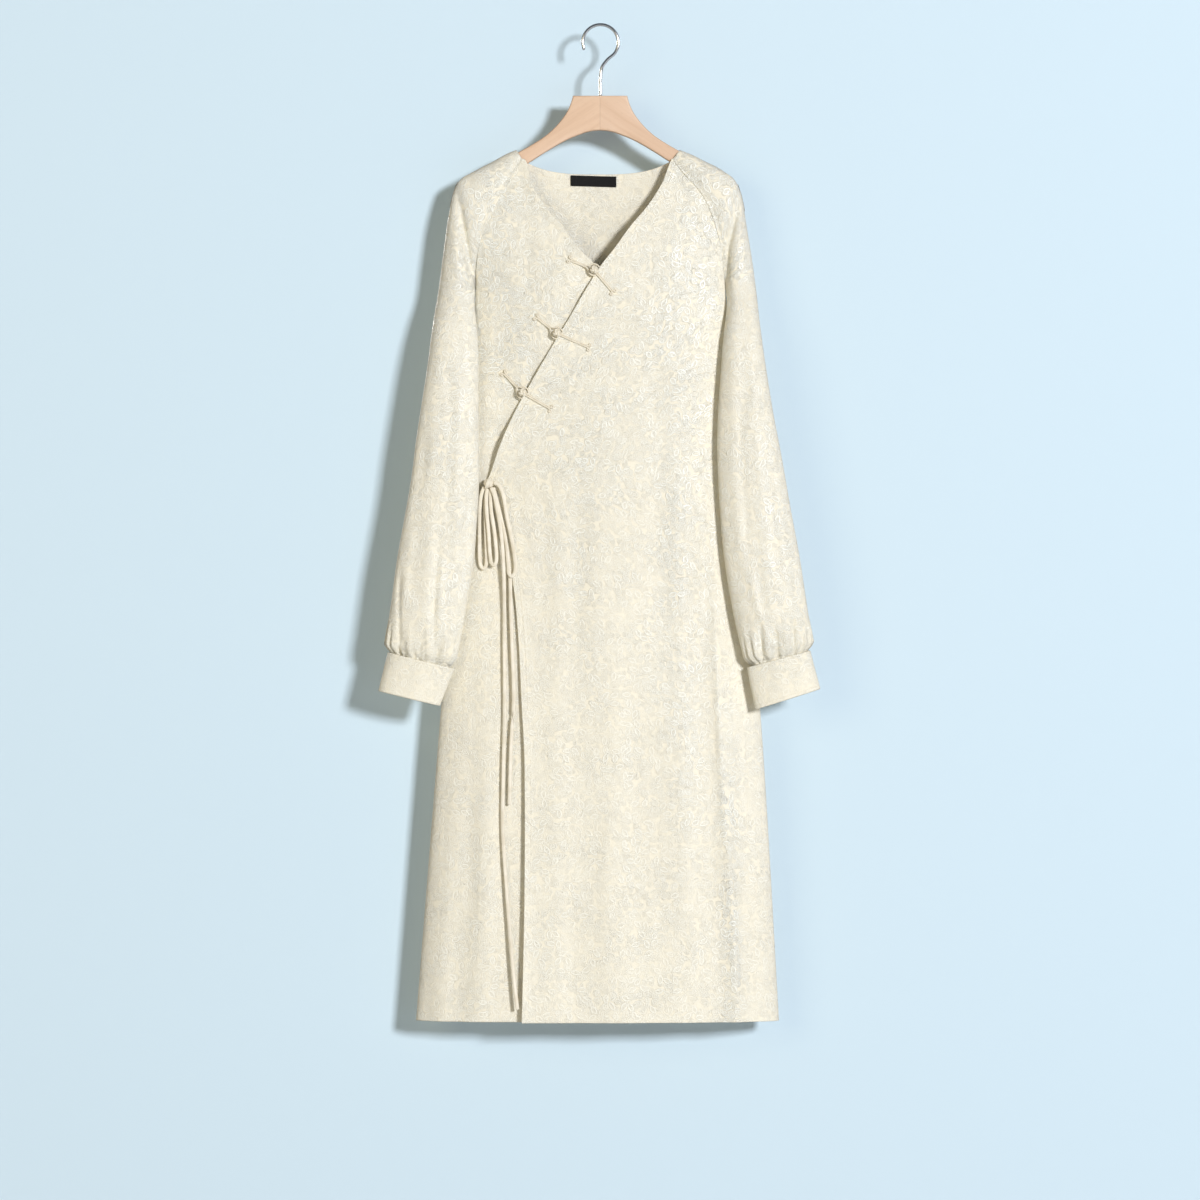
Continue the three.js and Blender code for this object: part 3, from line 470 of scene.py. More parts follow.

# Listed creases: from and to, half width, height (minus for a trough) and sideways bow
FRONT_CREASES = table("x0 z0 x1 z1 width rise bow", [
    (0.068, -0.36, 0.092, -0.93, 0.013, -0.0013, 0.004),
    (0.096, -0.42, 0.120, -1.28, 0.010, 0.0012, 0.003),
    (0.130, -0.56, 0.1375, -0.83, 0.005, -0.0008, -0.002),
    (0.146, -0.70, 0.1615, -1.075, 0.0034, 0.0017, 0.002),
    (0.1615, -1.03, 0.1775, -1.275, 0.0030, 0.0020, -0.001),
    (0.152, -0.86, 0.168, -1.22, 0.006, -0.0004, 0.002),
    (0.171, -0.98, 0.187, -1.27, 0.0065, -0.0004, 0.001),
    (0.196, -0.95, 0.214, -1.25, 0.008, 0.0010, 0.002),
    (0.004, -0.40, -0.012, -1.10, 0.016, 0.0010, 0.004),
    (-0.048, -0.60, -0.058, -1.02, 0.010, 0.0012, 0.003),
    (-0.030, -0.52, -0.034, -0.90, 0.011, -0.0010, -0.003),
    (-0.072, -0.50, -0.070, -0.78, 0.009, -0.0009, 0.004),
    (0.030, -0.74, 0.046, -1.20, 0.012, -0.0010, -0.004),
    (0.012, -0.98, 0.006, -1.275, 0.009, 0.0011, 0.002),
    (0.052, -1.02, 0.078, -1.28, 0.010, 0.0009, 0.003),
    (0.108, -1.16, 0.112, -1.282, 0.008, -0.0013, 0.001),
    (-0.036, -1.10, -0.040, -1.28, 0.009, -0.0011, -0.002),
    (0.165, -1.005, 0.205, -1.022, 0.004, 0.0009, 0.002),
    (0.168, -1.018, 0.198, -1.038, 0.004, -0.0008, -0.001),
    (0.064, -0.235, 0.112, -0.262, 0.008, 0.0006, 0.004),
    (0.020, -0.33, 0.085, -0.42, 0.012, 0.0008, 0.006),
    (-0.052, -0.425, 0.005, -0.52, 0.010, 0.0007, 0.005),
    (-0.098, -0.505, -0.052, -0.64, 0.008, 0.0008, 0.004),
    (-0.110, -0.545, -0.092, -0.70, 0.006, -0.0007, 0.003),
    (0.120, -0.33, 0.108, -0.62, 0.014, 0.0010, 0.004),
    (0.142, -0.345, 0.136, -0.50, 0.007, -0.0008, 0.002),
])
UNDER_CREASES = table("x0 z0 x1 z1 width rise bow", [
    (-0.090, -0.185, -0.070, -0.30, 0.006, 0.0009, 0.003),
    (-0.096, -0.20, -0.088, -0.36, 0.008, -0.0008, 0.003),
    (-0.066, -0.262, -0.040, -0.34, 0.006, 0.0007, 0.002),
    (-0.128, -0.36, -0.118, -0.56, 0.009, -0.0012, 0.003),
    (-0.140, -0.35, -0.146, -0.60, 0.007, 0.0009, 0.002),
    (-0.150, -0.80, -0.142, -1.28, 0.012, 0.0013, 0.003),
    (-0.182, -0.84, -0.190, -1.27, 0.010, -0.0012, 0.003),
    (-0.205, -0.95, -0.216, -1.28, 0.008, 0.0011, 0.002),
    (-0.166, -0.98, -0.172, -1.28, 0.007, -0.0009, -0.002),
    (-0.124, -0.62, -0.132, -0.95, 0.008, 0.0009, -0.002),
    (-0.196, -0.905, -0.168, -0.925, 0.004, 0.0007, 0.001),
])
BACK_CREASES = table("x0 z0 x1 z1 width rise bow", [
    (-0.020, -0.24, -0.055, -0.55, 0.014, 0.0010, 0.005),
    (0.030, -0.25, 0.062, -0.60, 0.013, -0.0010, 0.004),
    (-0.088, -0.30, -0.120, -0.70, 0.010, 0.0011, 0.004),
    (0.100, -0.30, 0.128, -0.72, 0.010, 0.0010, -0.004),
    (-0.150, -0.62, -0.186, -1.22, 0.008, -0.0012, 0.003),
    (-0.060, -0.58, -0.068, -1.26, 0.012, -0.0011, 0.004),
    (0.004, -0.52, 0.022, -1.20, 0.011, 0.0012, -0.005),
    (0.066, -0.70, 0.098, -1.27, 0.009, -0.0012, 0.003),
    (0.146, -0.64, 0.186, -1.25, 0.0075, 0.0012, 0.002),
    (-0.120, -0.90, -0.134, -1.28, 0.008, 0.0011, -0.002),
    (0.128, -0.96, 0.140, -1.28, 0.007, -0.0010, 0.002),
    (-0.030, -1.04, -0.026, -1.28, 0.009, -0.0010, 0.002),
    (-0.120, -0.215, -0.060, -0.245, 0.008, 0.0006, 0.003),
    (0.060, -0.220, 0.118, -0.250, 0.008, 0.0006, -0.003),
])
LEFT_SLEEVE_CREASES = table("x0 z0 x1 z1 width rise bow", [
    (-0.1812, -0.2320, -0.1705, -0.3000, 0.0024, -0.0034, 0.0),
    (-0.1710, -0.2920, -0.1687, -0.3350, 0.0024, -0.0038, 0.0),
    (-0.2575, -0.700, -0.2561, -0.828, 0.0028, -0.0036, 0.001),
    (-0.2040, -0.655, -0.2116, -0.830, 0.0036, -0.0030, 0.005),
    (-0.2303, -0.795, -0.2300, -0.828, 0.0018, -0.0036, 0.001),
    (-0.2060, -0.800, -0.2125, -0.829, 0.0018, -0.0030, 0.001),
    (-0.2515, -0.790, -0.2490, -0.826, 0.0016, -0.0026, 0.001),
    (-0.2440, -0.770, -0.2440, -0.820, 0.0030, 0.0016, 0.001),
    (-0.2190, -0.760, -0.2220, -0.825, 0.0030, 0.0015, 0.001),
    (-0.1960, -0.770, -0.2000, -0.826, 0.0028, 0.0012, 0.001),
    (-0.1880, -0.245, -0.1740, -0.420, 0.0060, 0.0014, 0.003),
    (-0.1800, -0.300, -0.1760, -0.520, 0.0070, -0.0012, 0.003),
    (-0.2000, -0.360, -0.2160, -0.600, 0.0070, 0.0014, 0.004),
    (-0.1950, -0.420, -0.1960, -0.640, 0.0060, -0.0015, -0.004),
    (-0.1760, -0.440, -0.1840, -0.690, 0.0080, 0.0016, 0.003),
    (-0.2220, -0.520, -0.2420, -0.740, 0.0070, -0.0014, 0.003),
    (-0.2120, -0.600, -0.2260, -0.780, 0.0060, 0.0014, 0.002),
    (-0.1900, -0.620, -0.1960, -0.770, 0.0060, -0.0014, 0.002),
    (-0.1700, -0.560, -0.1790, -0.740, 0.0050, -0.0012, -0.002),
    (-0.2380, -0.640, -0.2540, -0.760, 0.0050, 0.0012, 0.001),
])
RIGHT_SLEEVE_CREASES = table("x0 z0 x1 z1 width rise bow", [
    (0.1795, -0.2280, 0.1640, -0.2893, 0.0024, -0.0034, 0.0),
    (0.1645, -0.2820, 0.1620, -0.3350, 0.0024, -0.0038, 0.0),
    (0.2050, -0.765, 0.2083, -0.828, 0.0024, -0.0040, 0.001),
    (0.2232, -0.770, 0.2297, -0.824, 0.0026, -0.0042, 0.001),
    (0.2470, -0.755, 0.2496, -0.820, 0.0022, -0.0036, 0.001),
    (0.2599, -0.770, 0.2586, -0.812, 0.0024, -0.0016, 0.001),
    (0.1900, -0.700, 0.2199, -0.805, 0.0038, 0.0020, 0.003),
    (0.1709, -0.735, 0.1787, -0.785, 0.0030, -0.0016, 0.001),
    (0.2360, -0.760, 0.2390, -0.815, 0.0032, 0.0018, 0.001),
    (0.1960, -0.775, 0.1990, -0.826, 0.0028, 0.0014, 0.001),
    (0.1740, -0.250, 0.1720, -0.430, 0.0060, 0.0013, 0.003),
    (0.1860, -0.300, 0.1880, -0.520, 0.0070, -0.0013, 0.003),
    (0.1660, -0.380, 0.1680, -0.600, 0.0070, 0.0015, -0.003),
    (0.1960, -0.400, 0.2120, -0.640, 0.0070, 0.0014, 0.003),
    (0.1800, -0.470, 0.1940, -0.700, 0.0060, -0.0015, 0.004),
    (0.2100, -0.520, 0.2320, -0.720, 0.0060, -0.0013, 0.003),
    (0.1700, -0.560, 0.1900, -0.740, 0.0060, 0.0014, 0.003),
    (0.2220, -0.560, 0.2440, -0.760, 0.0060, 0.0014, -0.002),
    (0.1980, -0.640, 0.2120, -0.770, 0.0050, -0.0013, 0.002),
    (0.2400, -0.640, 0.2560, -0.760, 0.0050, -0.0011, 0.002),
])


def crease_rise(creases, x, z):
    """Standing height of the listed ridges and troughs at a place in the front view."""
    total = np.zeros(np.broadcast(x, z).shape)
    for c in rows_of(creases):
        run_x, run_z = c["x1"] - c["x0"], c["z1"] - c["z0"]
        length = math.hypot(run_x, run_z)
        along = ((x - c["x0"]) * run_x + (z - c["z0"]) * run_z) / length**2
        aside = ((x - c["x0"]) * run_z - (z - c["z0"]) * run_x) / length
        aside = aside - c["bow"] * np.sin(math.pi * np.clip(along, 0, 1))
        uneven = CREASE_MEAN + CREASE_SWING * np.sin(length * CREASE_DRIFT + along * CREASE_WAVE)
        start = smooth_step((along + CREASE_OVERRUN) / CREASE_END)
        end = smooth_step((1 + CREASE_OVERRUN - along) / CREASE_END)
        width = c["width"] * (CREASE_NARROW + CREASE_WIDEN * uneven)
        total = total + c["rise"] * uneven * (start * end) * bump(aside, width)
    return total


# The body's form, as in the part's own source
def body_at(face, z):
    left, right = read(SIDES, "left", z), read(SIDES, "right", z)
    depth = read(DEPTHS, "front" if face < 0 else "back", z)
    edge = np.where(z > ARMPIT, np.maximum(read(DEPTHS, "edge", z), 0), 0)
    return (left + right) / 2, (right - left) / 2, depth, np.arccos(edge / depth)


HEM_HALF = float(body_at(-1, np.array(HEM))[1])


def fold_rise(folds, x, z, half):
    total = 0
    for fold in rows_of(folds):
        grown = smooth_step((fold["start"] - z) / FOLD_RUN)
        total = total + fold["rise"] * grown * bump(x - fold["hem"] * half / HEM_HALF, fold["spread"])
    return total


def body_point(face, across, z):
    """A point on the outside of the body; across runs from -1 at the left edge to 1 at the right."""
    middle, half, depth, turn = body_at(face, z)
    angle = across * turn
    x = middle + half * np.sin(angle) / np.sin(turn)
    folds = fold_rise(FRONT_FOLDS if face < 0 else BACK_FOLDS, x, z, half)
    fade = 1 - across**FOLD_FADE
    return np.stack([x, face * (depth * np.cos(angle) + folds * fade), z + 0 * x], axis=-1)


def across_at(face, x, z):
    middle, half, _, turn = body_at(face, z)
    return np.arcsin(np.clip((x - middle) / half * np.sin(turn), -1, 1)) / turn


def across_limit(face, z):
    _, half, _, turn = body_at(face, z)
    return 1 - np.minimum(SIDE_TRIM, np.abs(SEAM_GAP / 2 * np.tan(turn) / (half * turn)))


def side_fade(across):
    return 1 - smooth_step((np.abs(across) - SIDE_FADE_START) / (1 - SIDE_FADE_START))


def edge_stand(z):
    return sum(row["rise"] * bump(z - row["z"], row["run"]) for row in rows_of(EDGE_STAND))


def outer_point(across, z):
    """The outer front, with its free edge standing off, and its creases."""
    point = body_point(-1, across, z)
    edge = point[..., 0] - read(OUTER_EDGE, "x", z)
    lift = read(EDGE_LIFT, "lift", z) + edge_stand(z)
    point[..., 1] -= lift * np.exp(-np.abs(edge) / LIFT_WIDTH)
    free = smooth_step(np.abs(edge) / EDGE_FREE)
    point[..., 1] -= crease_rise(FRONT_CREASES, point[..., 0], z) * side_fade(across) * free
    return point


def under_point(across, z):
    """The under front, set back where it passes behind the outer one, and its creases."""
    point = body_point(-1, across, z)
    beyond = point[..., 0] - read(OUTER_EDGE, "x", z)
    back = smooth_step((beyond + TUCK_WIDTH) / TUCK_WIDTH) * (1 - across**TUCK_FADE)
    point[..., 1] += (CLOTH + LAYER_GAP) * back
    dip = bump(z - UNDER_DIP_HEIGHT, UNDER_DIP_RUN) * bump(beyond, UNDER_DIP_WIDTH)
    point[..., 1] += UNDER_DIP * dip
    seen = smooth_step(-beyond / EDGE_FREE)
    point[..., 1] -= crease_rise(UNDER_CREASES, point[..., 0], z) * side_fade(across) * seen
    return point


def on_front(panel, x, z, out):
    """A point of the front at a place, moved out along Y."""
    point = panel(across_at(-1, x, z), z)
    point[..., 1] -= out
    return point


def facing(distance, width):
    """The second layer of a turned facing, with the dip of its stitching along its inner line."""
    layer = FACING_STEP * (1 - smooth_step((distance - width) / FACING_SLOPE))
    return layer - FACING_DIP * bump(distance - width + FACING_SLOPE, FACING_DIP_WIDTH)


# Panels over their own values: u from edge to edge, z downwards
def outer_front(u, z):
    left = across_at(-1, read(OUTER_EDGE, "x", z), z)
    point = outer_point(left + (across_limit(-1, z) - left) * u, z)
    edge = point[..., 0] - read(OUTER_EDGE, "x", z)
    point[..., 1] -= facing(edge, NECK_FACING)
    point[..., 1] -= facing(z - HEM, HEM_TURN)
    return point


def under_front(u, z):
    left = -across_limit(-1, z)
    point = under_point(left + (across_at(-1, read(UNDER_EDGE, "x", z), z) - left) * u, z)
    edge = read(UNDER_EDGE, "x", z) - point[..., 0]
    point[..., 1] -= facing(edge, NECK_FACING)
    point[..., 1] -= facing(z - HEM, HEM_TURN)
    return point


def back_panel(u, z):
    limit = across_limit(1, z)
    across = limit * (2 * u - 1)
    level = smooth_step((z - BACK_LEVEL) / (NECK_TOP - BACK_LEVEL))
    drop = BACK_NECK_DROP * level * (1 - np.abs(2 * u - 1) ** BACK_NECK_POWER)
    x = body_point(1, across, z)[..., 0]
    lower = z - drop
    across = across_at(1, x, lower)
    point = body_point(1, across, lower)
    point[..., 1] += crease_rise(BACK_CREASES, x, lower) * side_fade(across)
    point[..., 1] += facing(NECK_TOP - z, NECK_FACING) + facing(z - HEM, HEM_TURN)
    return point


# Sleeves and cuffs: around runs from -1 at the front seam, over the outer edge, to 1 at the back
def sleeve_point(side, source, around, z):
    in_x = read(source, "in_x", z) + np.where(z >= ARMPIT, SLEEVE_GAP, 0)
    reach_x = read(source, "out_x", z) - in_x
    reach_z = read(source, "out_z", z) - z
    depth = read(source, "depth", z)
    edge = np.where(z > ARMPIT, np.maximum(read(DEPTHS, "edge", z), 0), 0)
    start = np.arcsin(np.minimum(edge / depth, 1))
    angle = around * (math.pi - start)
    half = 1 / (1 + np.cos(start))
    share = 1 - half + half * np.cos(angle)
    y = depth * np.sin(angle) - read(source, "forward", z)
    return np.stack([side * (in_x + reach_x * share), y, z + reach_z * share], axis=-1)


def crease_sink(side, point, around):
    x, z = np.abs(point[..., 0]), point[..., 2]
    place = read(CREASES, "left" if side < 0 else "right", z)
    inside = (around <= 0) & (z >= CREASES["z"][-1]) & (z <= CREASES["z"][0])
    share = read(CREASES, "share", z)
    sink = bump(x - place, CREASE_WIDTH) + CREASE_CORE_SHARE * bump(x - place, CREASE_CORE_WIDTH)
    return np.where(inside, share * sink, 0)


def gather_rise(around, above):
    """The part's own gathers, and finer ones between them that end at uneven heights.

    Whole numbers count waves round the cuff, and what is added to them shifts the waves.
    """
    angle = around * math.pi
    waves = GATHERS * angle + GATHER_DRIFT * np.sin(2 * angle + 1) + GATHER_JITTER * np.sin(5 * angle)
    uneven = GATHER_MEAN + GATHER_SWING * np.sin(3 * angle + 2)
    fade = 1 - smooth_step(above / (GATHER_FADE * uneven))
    fine = FINE_GATHERS * angle + FINE_DRIFT * np.sin(3 * angle + 2) + FINE_JITTER * np.sin(7 * angle + 1)
    short = FINE_MEAN + FINE_SWING * np.sin(11 * angle + 0.5)
    fine_fade = 1 - smooth_step(above / (FINE_RUN + FINE_RUN_SPREAD * short))
    pinch = 1 - smooth_step(above / PINCH_RUN)
    return (GATHER_RISE * uneven * fade * np.cos(waves) * (1 - PINCH_SHARE * pinch)
            + FINE_RISE * fine_fade * np.cos(fine))


def puff(above):
    """The blouse of the sleeve just above its cuff, drawn in at the seam."""
    return -PUFF_DEPTH * (1 - smooth_step(above / PUFF_RUN))


# The sleeve's front edge laps the body's at the raglan seam
SEAM_LAP = 0.0007
SEAM_LAP_LIFT = 0.0010
SEAM_LAP_START = 0.93

# Where a sleeve's creases start below its top, fade at its sides, and lie elsewhere on its back
SHOULDER_PLAIN = 0.04
SHOULDER_RUN = 0.05
SLEEVE_SIDE_FADE = 0.7
BACK_SHIFT = 0.007
BACK_DROP = 0.028


def sleeve(side, source, wrist, crease_depth, creases):
    def surface(u, z):
        around = 2 * u - 1
        point = sleeve_point(side, source, around, z)
        point[..., 1] += crease_depth * crease_sink(side, point, around)
        middle = (sleeve_point(side, source, 0 * u, z) + sleeve_point(side, source, 0 * u + 1, z)) / 2
        rise = 1 + (gather_rise(around, z - wrist) + puff(z - wrist)) / read(source, "depth", z)
        point = (point - middle) * rise[..., None] + middle
        facing_side = -np.sin(around * math.pi)
        flat = smooth_step(np.abs(facing_side) / SLEEVE_SIDE_FADE)
        behind = np.where(facing_side > 0, 0, 1)
        lapped = smooth_step((-around - SEAM_LAP_START) / (1 - SEAM_LAP_START)) * (z > ARMPIT)
        point[..., 0] -= side * SEAM_LAP * lapped
        point[..., 1] -= SEAM_LAP_LIFT * lapped
        lift = crease_rise(creases, point[..., 0] + BACK_SHIFT * behind, point[..., 2] + BACK_DROP * behind)
        below = smooth_step((NECK_TOP - SHOULDER_PLAIN - z) / SHOULDER_RUN)
        point[..., 1] -= np.sign(facing_side) * lift * flat * below
        return point
    return surface


def cuff(side, source):
    top, low = source["z"][0], source["z"][-1]

    def surface(u, z):
        point = sleeve_point(side, source, 2 * u - 1, z)
        middle = (sleeve_point(side, source, 0 * u, z) + sleeve_point(side, source, 0 * u + 1, z)) / 2
        angle = (2 * u - 1) * math.pi
        soft = CUFF_SOFT * np.sin(3 * angle + CUFF_SOFT_LEAN * z) + CUFF_SOFT_FINE * np.sin(7 * angle + 1)
        top_row = bump(z - top + CUFF_TOP_LINE, CUFF_DIP_WIDTH)
        low_row = bump(z - low - CUFF_LOW_LINE, CUFF_DIP_WIDTH)
        out = (point - middle) / np.linalg.norm(point - middle, axis=-1, keepdims=True)
        return point + out * (soft - CUFF_DIP * (top_row + low_row))[..., None]
    return surface


# Making meshes
def finish_piece(name, mesh, material, replaced):
    """A finished piece at the origin that rides on the body and stands for its CAD nodes."""
    for polygon in mesh.polygons:
        polygon.use_smooth = True
    mesh.materials.clear()
    mesh.materials.append(material)
    piece = bpy.data.objects.new(name, mesh)
    bpy.context.scene.collection.objects.link(piece)
    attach(piece, BODY)
    if replaced:
        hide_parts(*replaced)
    return piece


def mesh_from(name, points, faces, uvs=None):
    """A mesh from points and faces; uvs holds one pair for each corner of each face."""
    used = np.unique(np.concatenate([np.ravel(face) for face in faces]))
    place = np.full(len(points), -1)
    place[used] = np.arange(len(used))
    whole = [[int(i) for i in place[np.array(face)]] for face in faces]
    mesh = bpy.data.meshes.new(name)
    mesh.from_pydata([tuple(p) for p in points[used]], [], whole)
    if uvs is not None:
        layer = mesh.uv_layers.new(name="Cloth")
        layer.data.foreach_set("uv", np.ravel(uvs).astype(np.float32))
    mesh.update()
    return mesh, used


def add_values(mesh, name, values):
    attribute = mesh.attributes.new(name, "FLOAT", "POINT")
    attribute.data.foreach_set("value", np.asarray(values, np.float32))


NUDGE_U = 0.002
NUDGE_Z = 0.0006


def normals_of(surface, u, z, flip):
    along = surface(u + NUDGE_U, z) - surface(u - NUDGE_U, z)
    up = surface(u, z + NUDGE_Z) - surface(u, z - NUDGE_Z)
    normal = np.cross(along, up)
    return flip * normal / np.linalg.norm(normal, axis=-1, keepdims=True)


def cloth_lengths(points):
    """Metric cloth coordinates: real length across from the middle column, and down the cloth."""
    across = np.linalg.norm(np.diff(points, axis=1), axis=-1)
    u = np.concatenate([np.zeros((len(points), 1)), np.cumsum(across, axis=1)], axis=1)
    middle = points.shape[1] // 2
    u = u - u[:, middle:middle + 1]
    down = np.linalg.norm(np.diff(points[:, middle], axis=0), axis=-1)
    v = -np.concatenate([[0], np.cumsum(down)])
    return np.stack([u, np.broadcast_to(v[:, None], u.shape)], axis=-1)


def cloth_wall(name, surface, u, z, flip=1, closes_from=None, thick=SHEET, offset=(0, 0), figure=None):
    """A closed wall of cloth: outside, inside and a rounded rim round each free edge."""
    rows, columns = u.shape
    points = surface(u, z)
    normals = normals_of(surface, u, z, flip)
    uv = (cloth_lengths(points) + np.array(offset)).reshape(-1, 2)
    grid = np.arange(rows * columns).reshape(rows, columns)
    ids = grid.copy()
    if closes_from is not None:
        ids[closes_from:, -1] = ids[closes_from:, 0]
    corners = np.stack([g[a:rows + a - 1, b:columns + b - 1].ravel()
                        for g in (ids, grid) for a, b in ((0, 0), (0, 1), (1, 1), (1, 0))], axis=-1)
    quads, quad_grid = corners[:, :4], corners[:, 4:]
    flat = points.reshape(-1, 3)
    first = flat[quads[0]]
    facing_out = np.cross(first[1] - first[0], first[3] - first[0]) @ normals.reshape(-1, 3)[quads[0][0]]
    if facing_out < 0:
        quads, quad_grid = quads[:, ::-1], quad_grid[:, ::-1]
    total = rows * columns
    directed = np.concatenate([quads[:, [k, (k + 1) % 4]] for k in range(4)])
    keys, back_keys = directed[:, 0] * total + directed[:, 1], directed[:, 1] * total + directed[:, 0]
    rim = directed[~np.isin(keys, back_keys)]
    out_way = np.zeros((total, 3))
    unit = normals.reshape(-1, 3)
    for a, b in rim:
        way = np.cross(flat[b] - flat[a], unit[a])
        way = way / np.linalg.norm(way)
        out_way[a] += way
        out_way[b] += way
    length = np.maximum(np.linalg.norm(out_way, axis=-1, keepdims=True), SMALLEST)
    inside = flat - unit * thick
    edge = (flat + inside) / 2 + out_way / length * thick * 0.5
    a, b = rim[:, 0], rim[:, 1]
    outer_rim = np.stack([b, a, a + 2 * total, b + 2 * total], axis=-1)
    inner_rim = np.stack([b + 2 * total, a + 2 * total, a + total, b + total], axis=-1)
    faces = np.concatenate([quads, quads[:, ::-1] + total, outer_rim, inner_rim])
    rim_uv = uv[outer_rim % total]
    uvs = np.concatenate([uv[quad_grid], uv[quad_grid[:, ::-1]], rim_uv, uv[inner_rim % total]])
    mesh, used = mesh_from(name, np.concatenate([flat, inside, edge]), faces, uvs)
    # The figure's strength on each point, painted sheen included, goes to the material as a value
    strength = figure(flat) if figure else np.ones(total)
    add_values(mesh, "figure", np.tile(strength, 3)[used])
    return mesh


def even_grid(columns, heights):
    return np.meshgrid(np.linspace(0, 1, columns + 1), heights)


def heights_between(*stops):
    """Heights from each stop to the next, each stop with its own number of steps."""
    parts = [np.linspace(a, b, count, endpoint=False) for (a, _), (b, count) in zip(stops, stops[1:])]
    return np.concatenate(parts + [[stops[-1][0]]])


def edge_grid(columns, heights, widths, near, side):
    """Values across a panel, with close columns at the given distances from its free edge."""
    rows = []
    for width in widths:
        close = np.array(near) / width
        rows.append(np.concatenate([close, np.linspace(close[-1], 1, columns)[1:]]))
    u = np.array(rows)
    if side > 0:
        u = 1 - u[:, ::-1]
    return u, np.broadcast_to(heights[:, None], u.shape)


def smooth_route(route, steps):
    """A smooth line through points, with even steps between each two."""
    ends = [2 * route[0] - route[1], *route, 2 * route[-1] - route[-2]]
    line = []
    for p0, p1, p2, p3 in zip(ends, ends[1:], ends[2:], ends[3:]):
        pairs = ((p0, p1), (p1, p2), (p2, p3))
        knots = np.cumsum([0] + [max(np.linalg.norm(b - a), SMALLEST) ** 0.5 for a, b in pairs])
        t = np.linspace(knots[1], knots[2], steps, endpoint=False)[:, None]

        def blend(a, b, low, high):
            return ((high - t) * a + (t - low) * b) / (high - low)

        a1, a2, a3 = (blend(a, b, knots[i], knots[i + 1]) for i, (a, b) in enumerate(pairs))
        b1, b2 = blend(a1, a2, knots[0], knots[2]), blend(a2, a3, knots[1], knots[3])
        line.append(blend(b1, b2, knots[1], knots[2]))
    return np.concatenate(line + [route[-1:]])


def frames_along(points, outward):
    tangent = np.gradient(points, axis=0)
    tangent /= np.linalg.norm(tangent, axis=-1, keepdims=True)
    out = outward - (outward * tangent).sum(axis=-1, keepdims=True) * tangent
    out /= np.linalg.norm(out, axis=-1, keepdims=True)
    return tangent, out, np.cross(tangent, out)


CAP_STEPS = 4
CAP_TIP = 0.02


def ribbon(points, outward, wide, thick, sides, squareness=1.0, twist=None, closed=False):
    """Points, faces and cloth coordinates of an oval tube with rounded ends."""
    tangent, out, aside = frames_along(points, outward)
    if twist is not None:
        turn = twist[:, None]
        out, aside = out * np.cos(turn) + aside * np.sin(turn), aside * np.cos(turn) - out * np.sin(turn)
    count = len(points)
    wide = np.broadcast_to(wide, (count,)) / 2
    thick = np.broadcast_to(thick, (count,)) / 2
    angles = np.linspace(0, FULL_TURN, sides, endpoint=False)
    ring_a = np.sign(np.cos(angles)) * np.abs(np.cos(angles)) ** squareness
    ring_b = np.sign(np.sin(angles)) * np.abs(np.sin(angles)) ** squareness
    centres, scales, index = list(points), [1.0] * count, list(range(count))
    if not closed:
        angles_cap = np.linspace(0, math.pi / 2, CAP_STEPS + 1)[1:]
        shrink = [max(math.cos(a), CAP_TIP) for a in angles_cap]
        reach = [math.sin(a) for a in angles_cap]
        head = [points[0] - tangent[0] * thick[0] * r for r in reach][::-1]
        foot = [points[-1] + tangent[-1] * thick[-1] * r for r in reach]
        centres = head + centres + foot
        scales = shrink[::-1] + scales + shrink
        index = [0] * CAP_STEPS + index + [count - 1] * CAP_STEPS
    rings = []
    for centre, scale, i in zip(centres, scales, index):
        ring = wide[i] * ring_a[:, None] * aside[i] + thick[i] * ring_b[:, None] * out[i]
        rings.append(centre + scale * ring)
    verts = np.concatenate(rings)
    total = len(centres)
    along = np.concatenate([[0], np.cumsum(np.linalg.norm(np.diff(np.array(centres), axis=0), axis=-1))])
    around = np.arange(sides + 1) / sides * 2 * float(wide.max() + thick.max())
    faces, uvs = [], []
    for row in range(total if closed else total - 1):
        following = (row + 1) % total
        v0 = along[row]
        v1 = along[row + 1] if row + 1 < total else along[row] + np.linalg.norm(centres[0] - centres[-1])
        for i in range(sides):
            j = (i + 1) % sides
            faces.append((row * sides + i, row * sides + j, following * sides + j, following * sides + i))
            uvs += [(around[i], v0), (around[i + 1], v0), (around[i + 1], v1), (around[i], v1)]
    if not closed:
        faces += [tuple(range(sides))[::-1], tuple((total - 1) * sides + i for i in range(sides))]
        uvs += [(around[i], along[0]) for i in range(sides)][::-1]
        uvs += [(around[i], along[-1]) for i in range(sides)]
    return verts, faces, uvs


def joined(parts):
    """Several sets of points, faces and cloth coordinates as one."""
    points, faces, uvs, start = [], [], [], 0
    for part_points, part_faces, part_uvs in parts:
        points.append(part_points)
        faces += [tuple(i + start for i in face) for face in part_faces]
        uvs += list(part_uvs)
        start += len(part_points)
    return np.concatenate(points), faces, uvs


def outward_mesh(name, parts):
    """A mesh of closed forms whose faces are turned outwards, one form at a time."""
    turned = []
    for points, faces, uvs in parts:
        volume = 0.0
        for face in faces:
            for k in range(1, len(face) - 1):
                volume += points[face[0]] @ np.cross(points[face[k]], points[face[k + 1]])
        if volume < 0:
            corner, flipped = 0, []
            for face in faces:
                flipped += list(uvs[corner:corner + len(face)])[::-1]
                corner += len(face)
            faces, uvs = [face[::-1] for face in faces], flipped
        turned.append((points, faces, uvs))
    points, faces, uvs = joined(turned)
    mesh = bpy.data.meshes.new(name)
    mesh.from_pydata([tuple(p) for p in points], [], faces)
    layer = mesh.uv_layers.new(name="Cloth")
    layer.data.foreach_set("uv", np.ravel(np.array(uvs)).astype(np.float32))
    mesh.update()
    return mesh


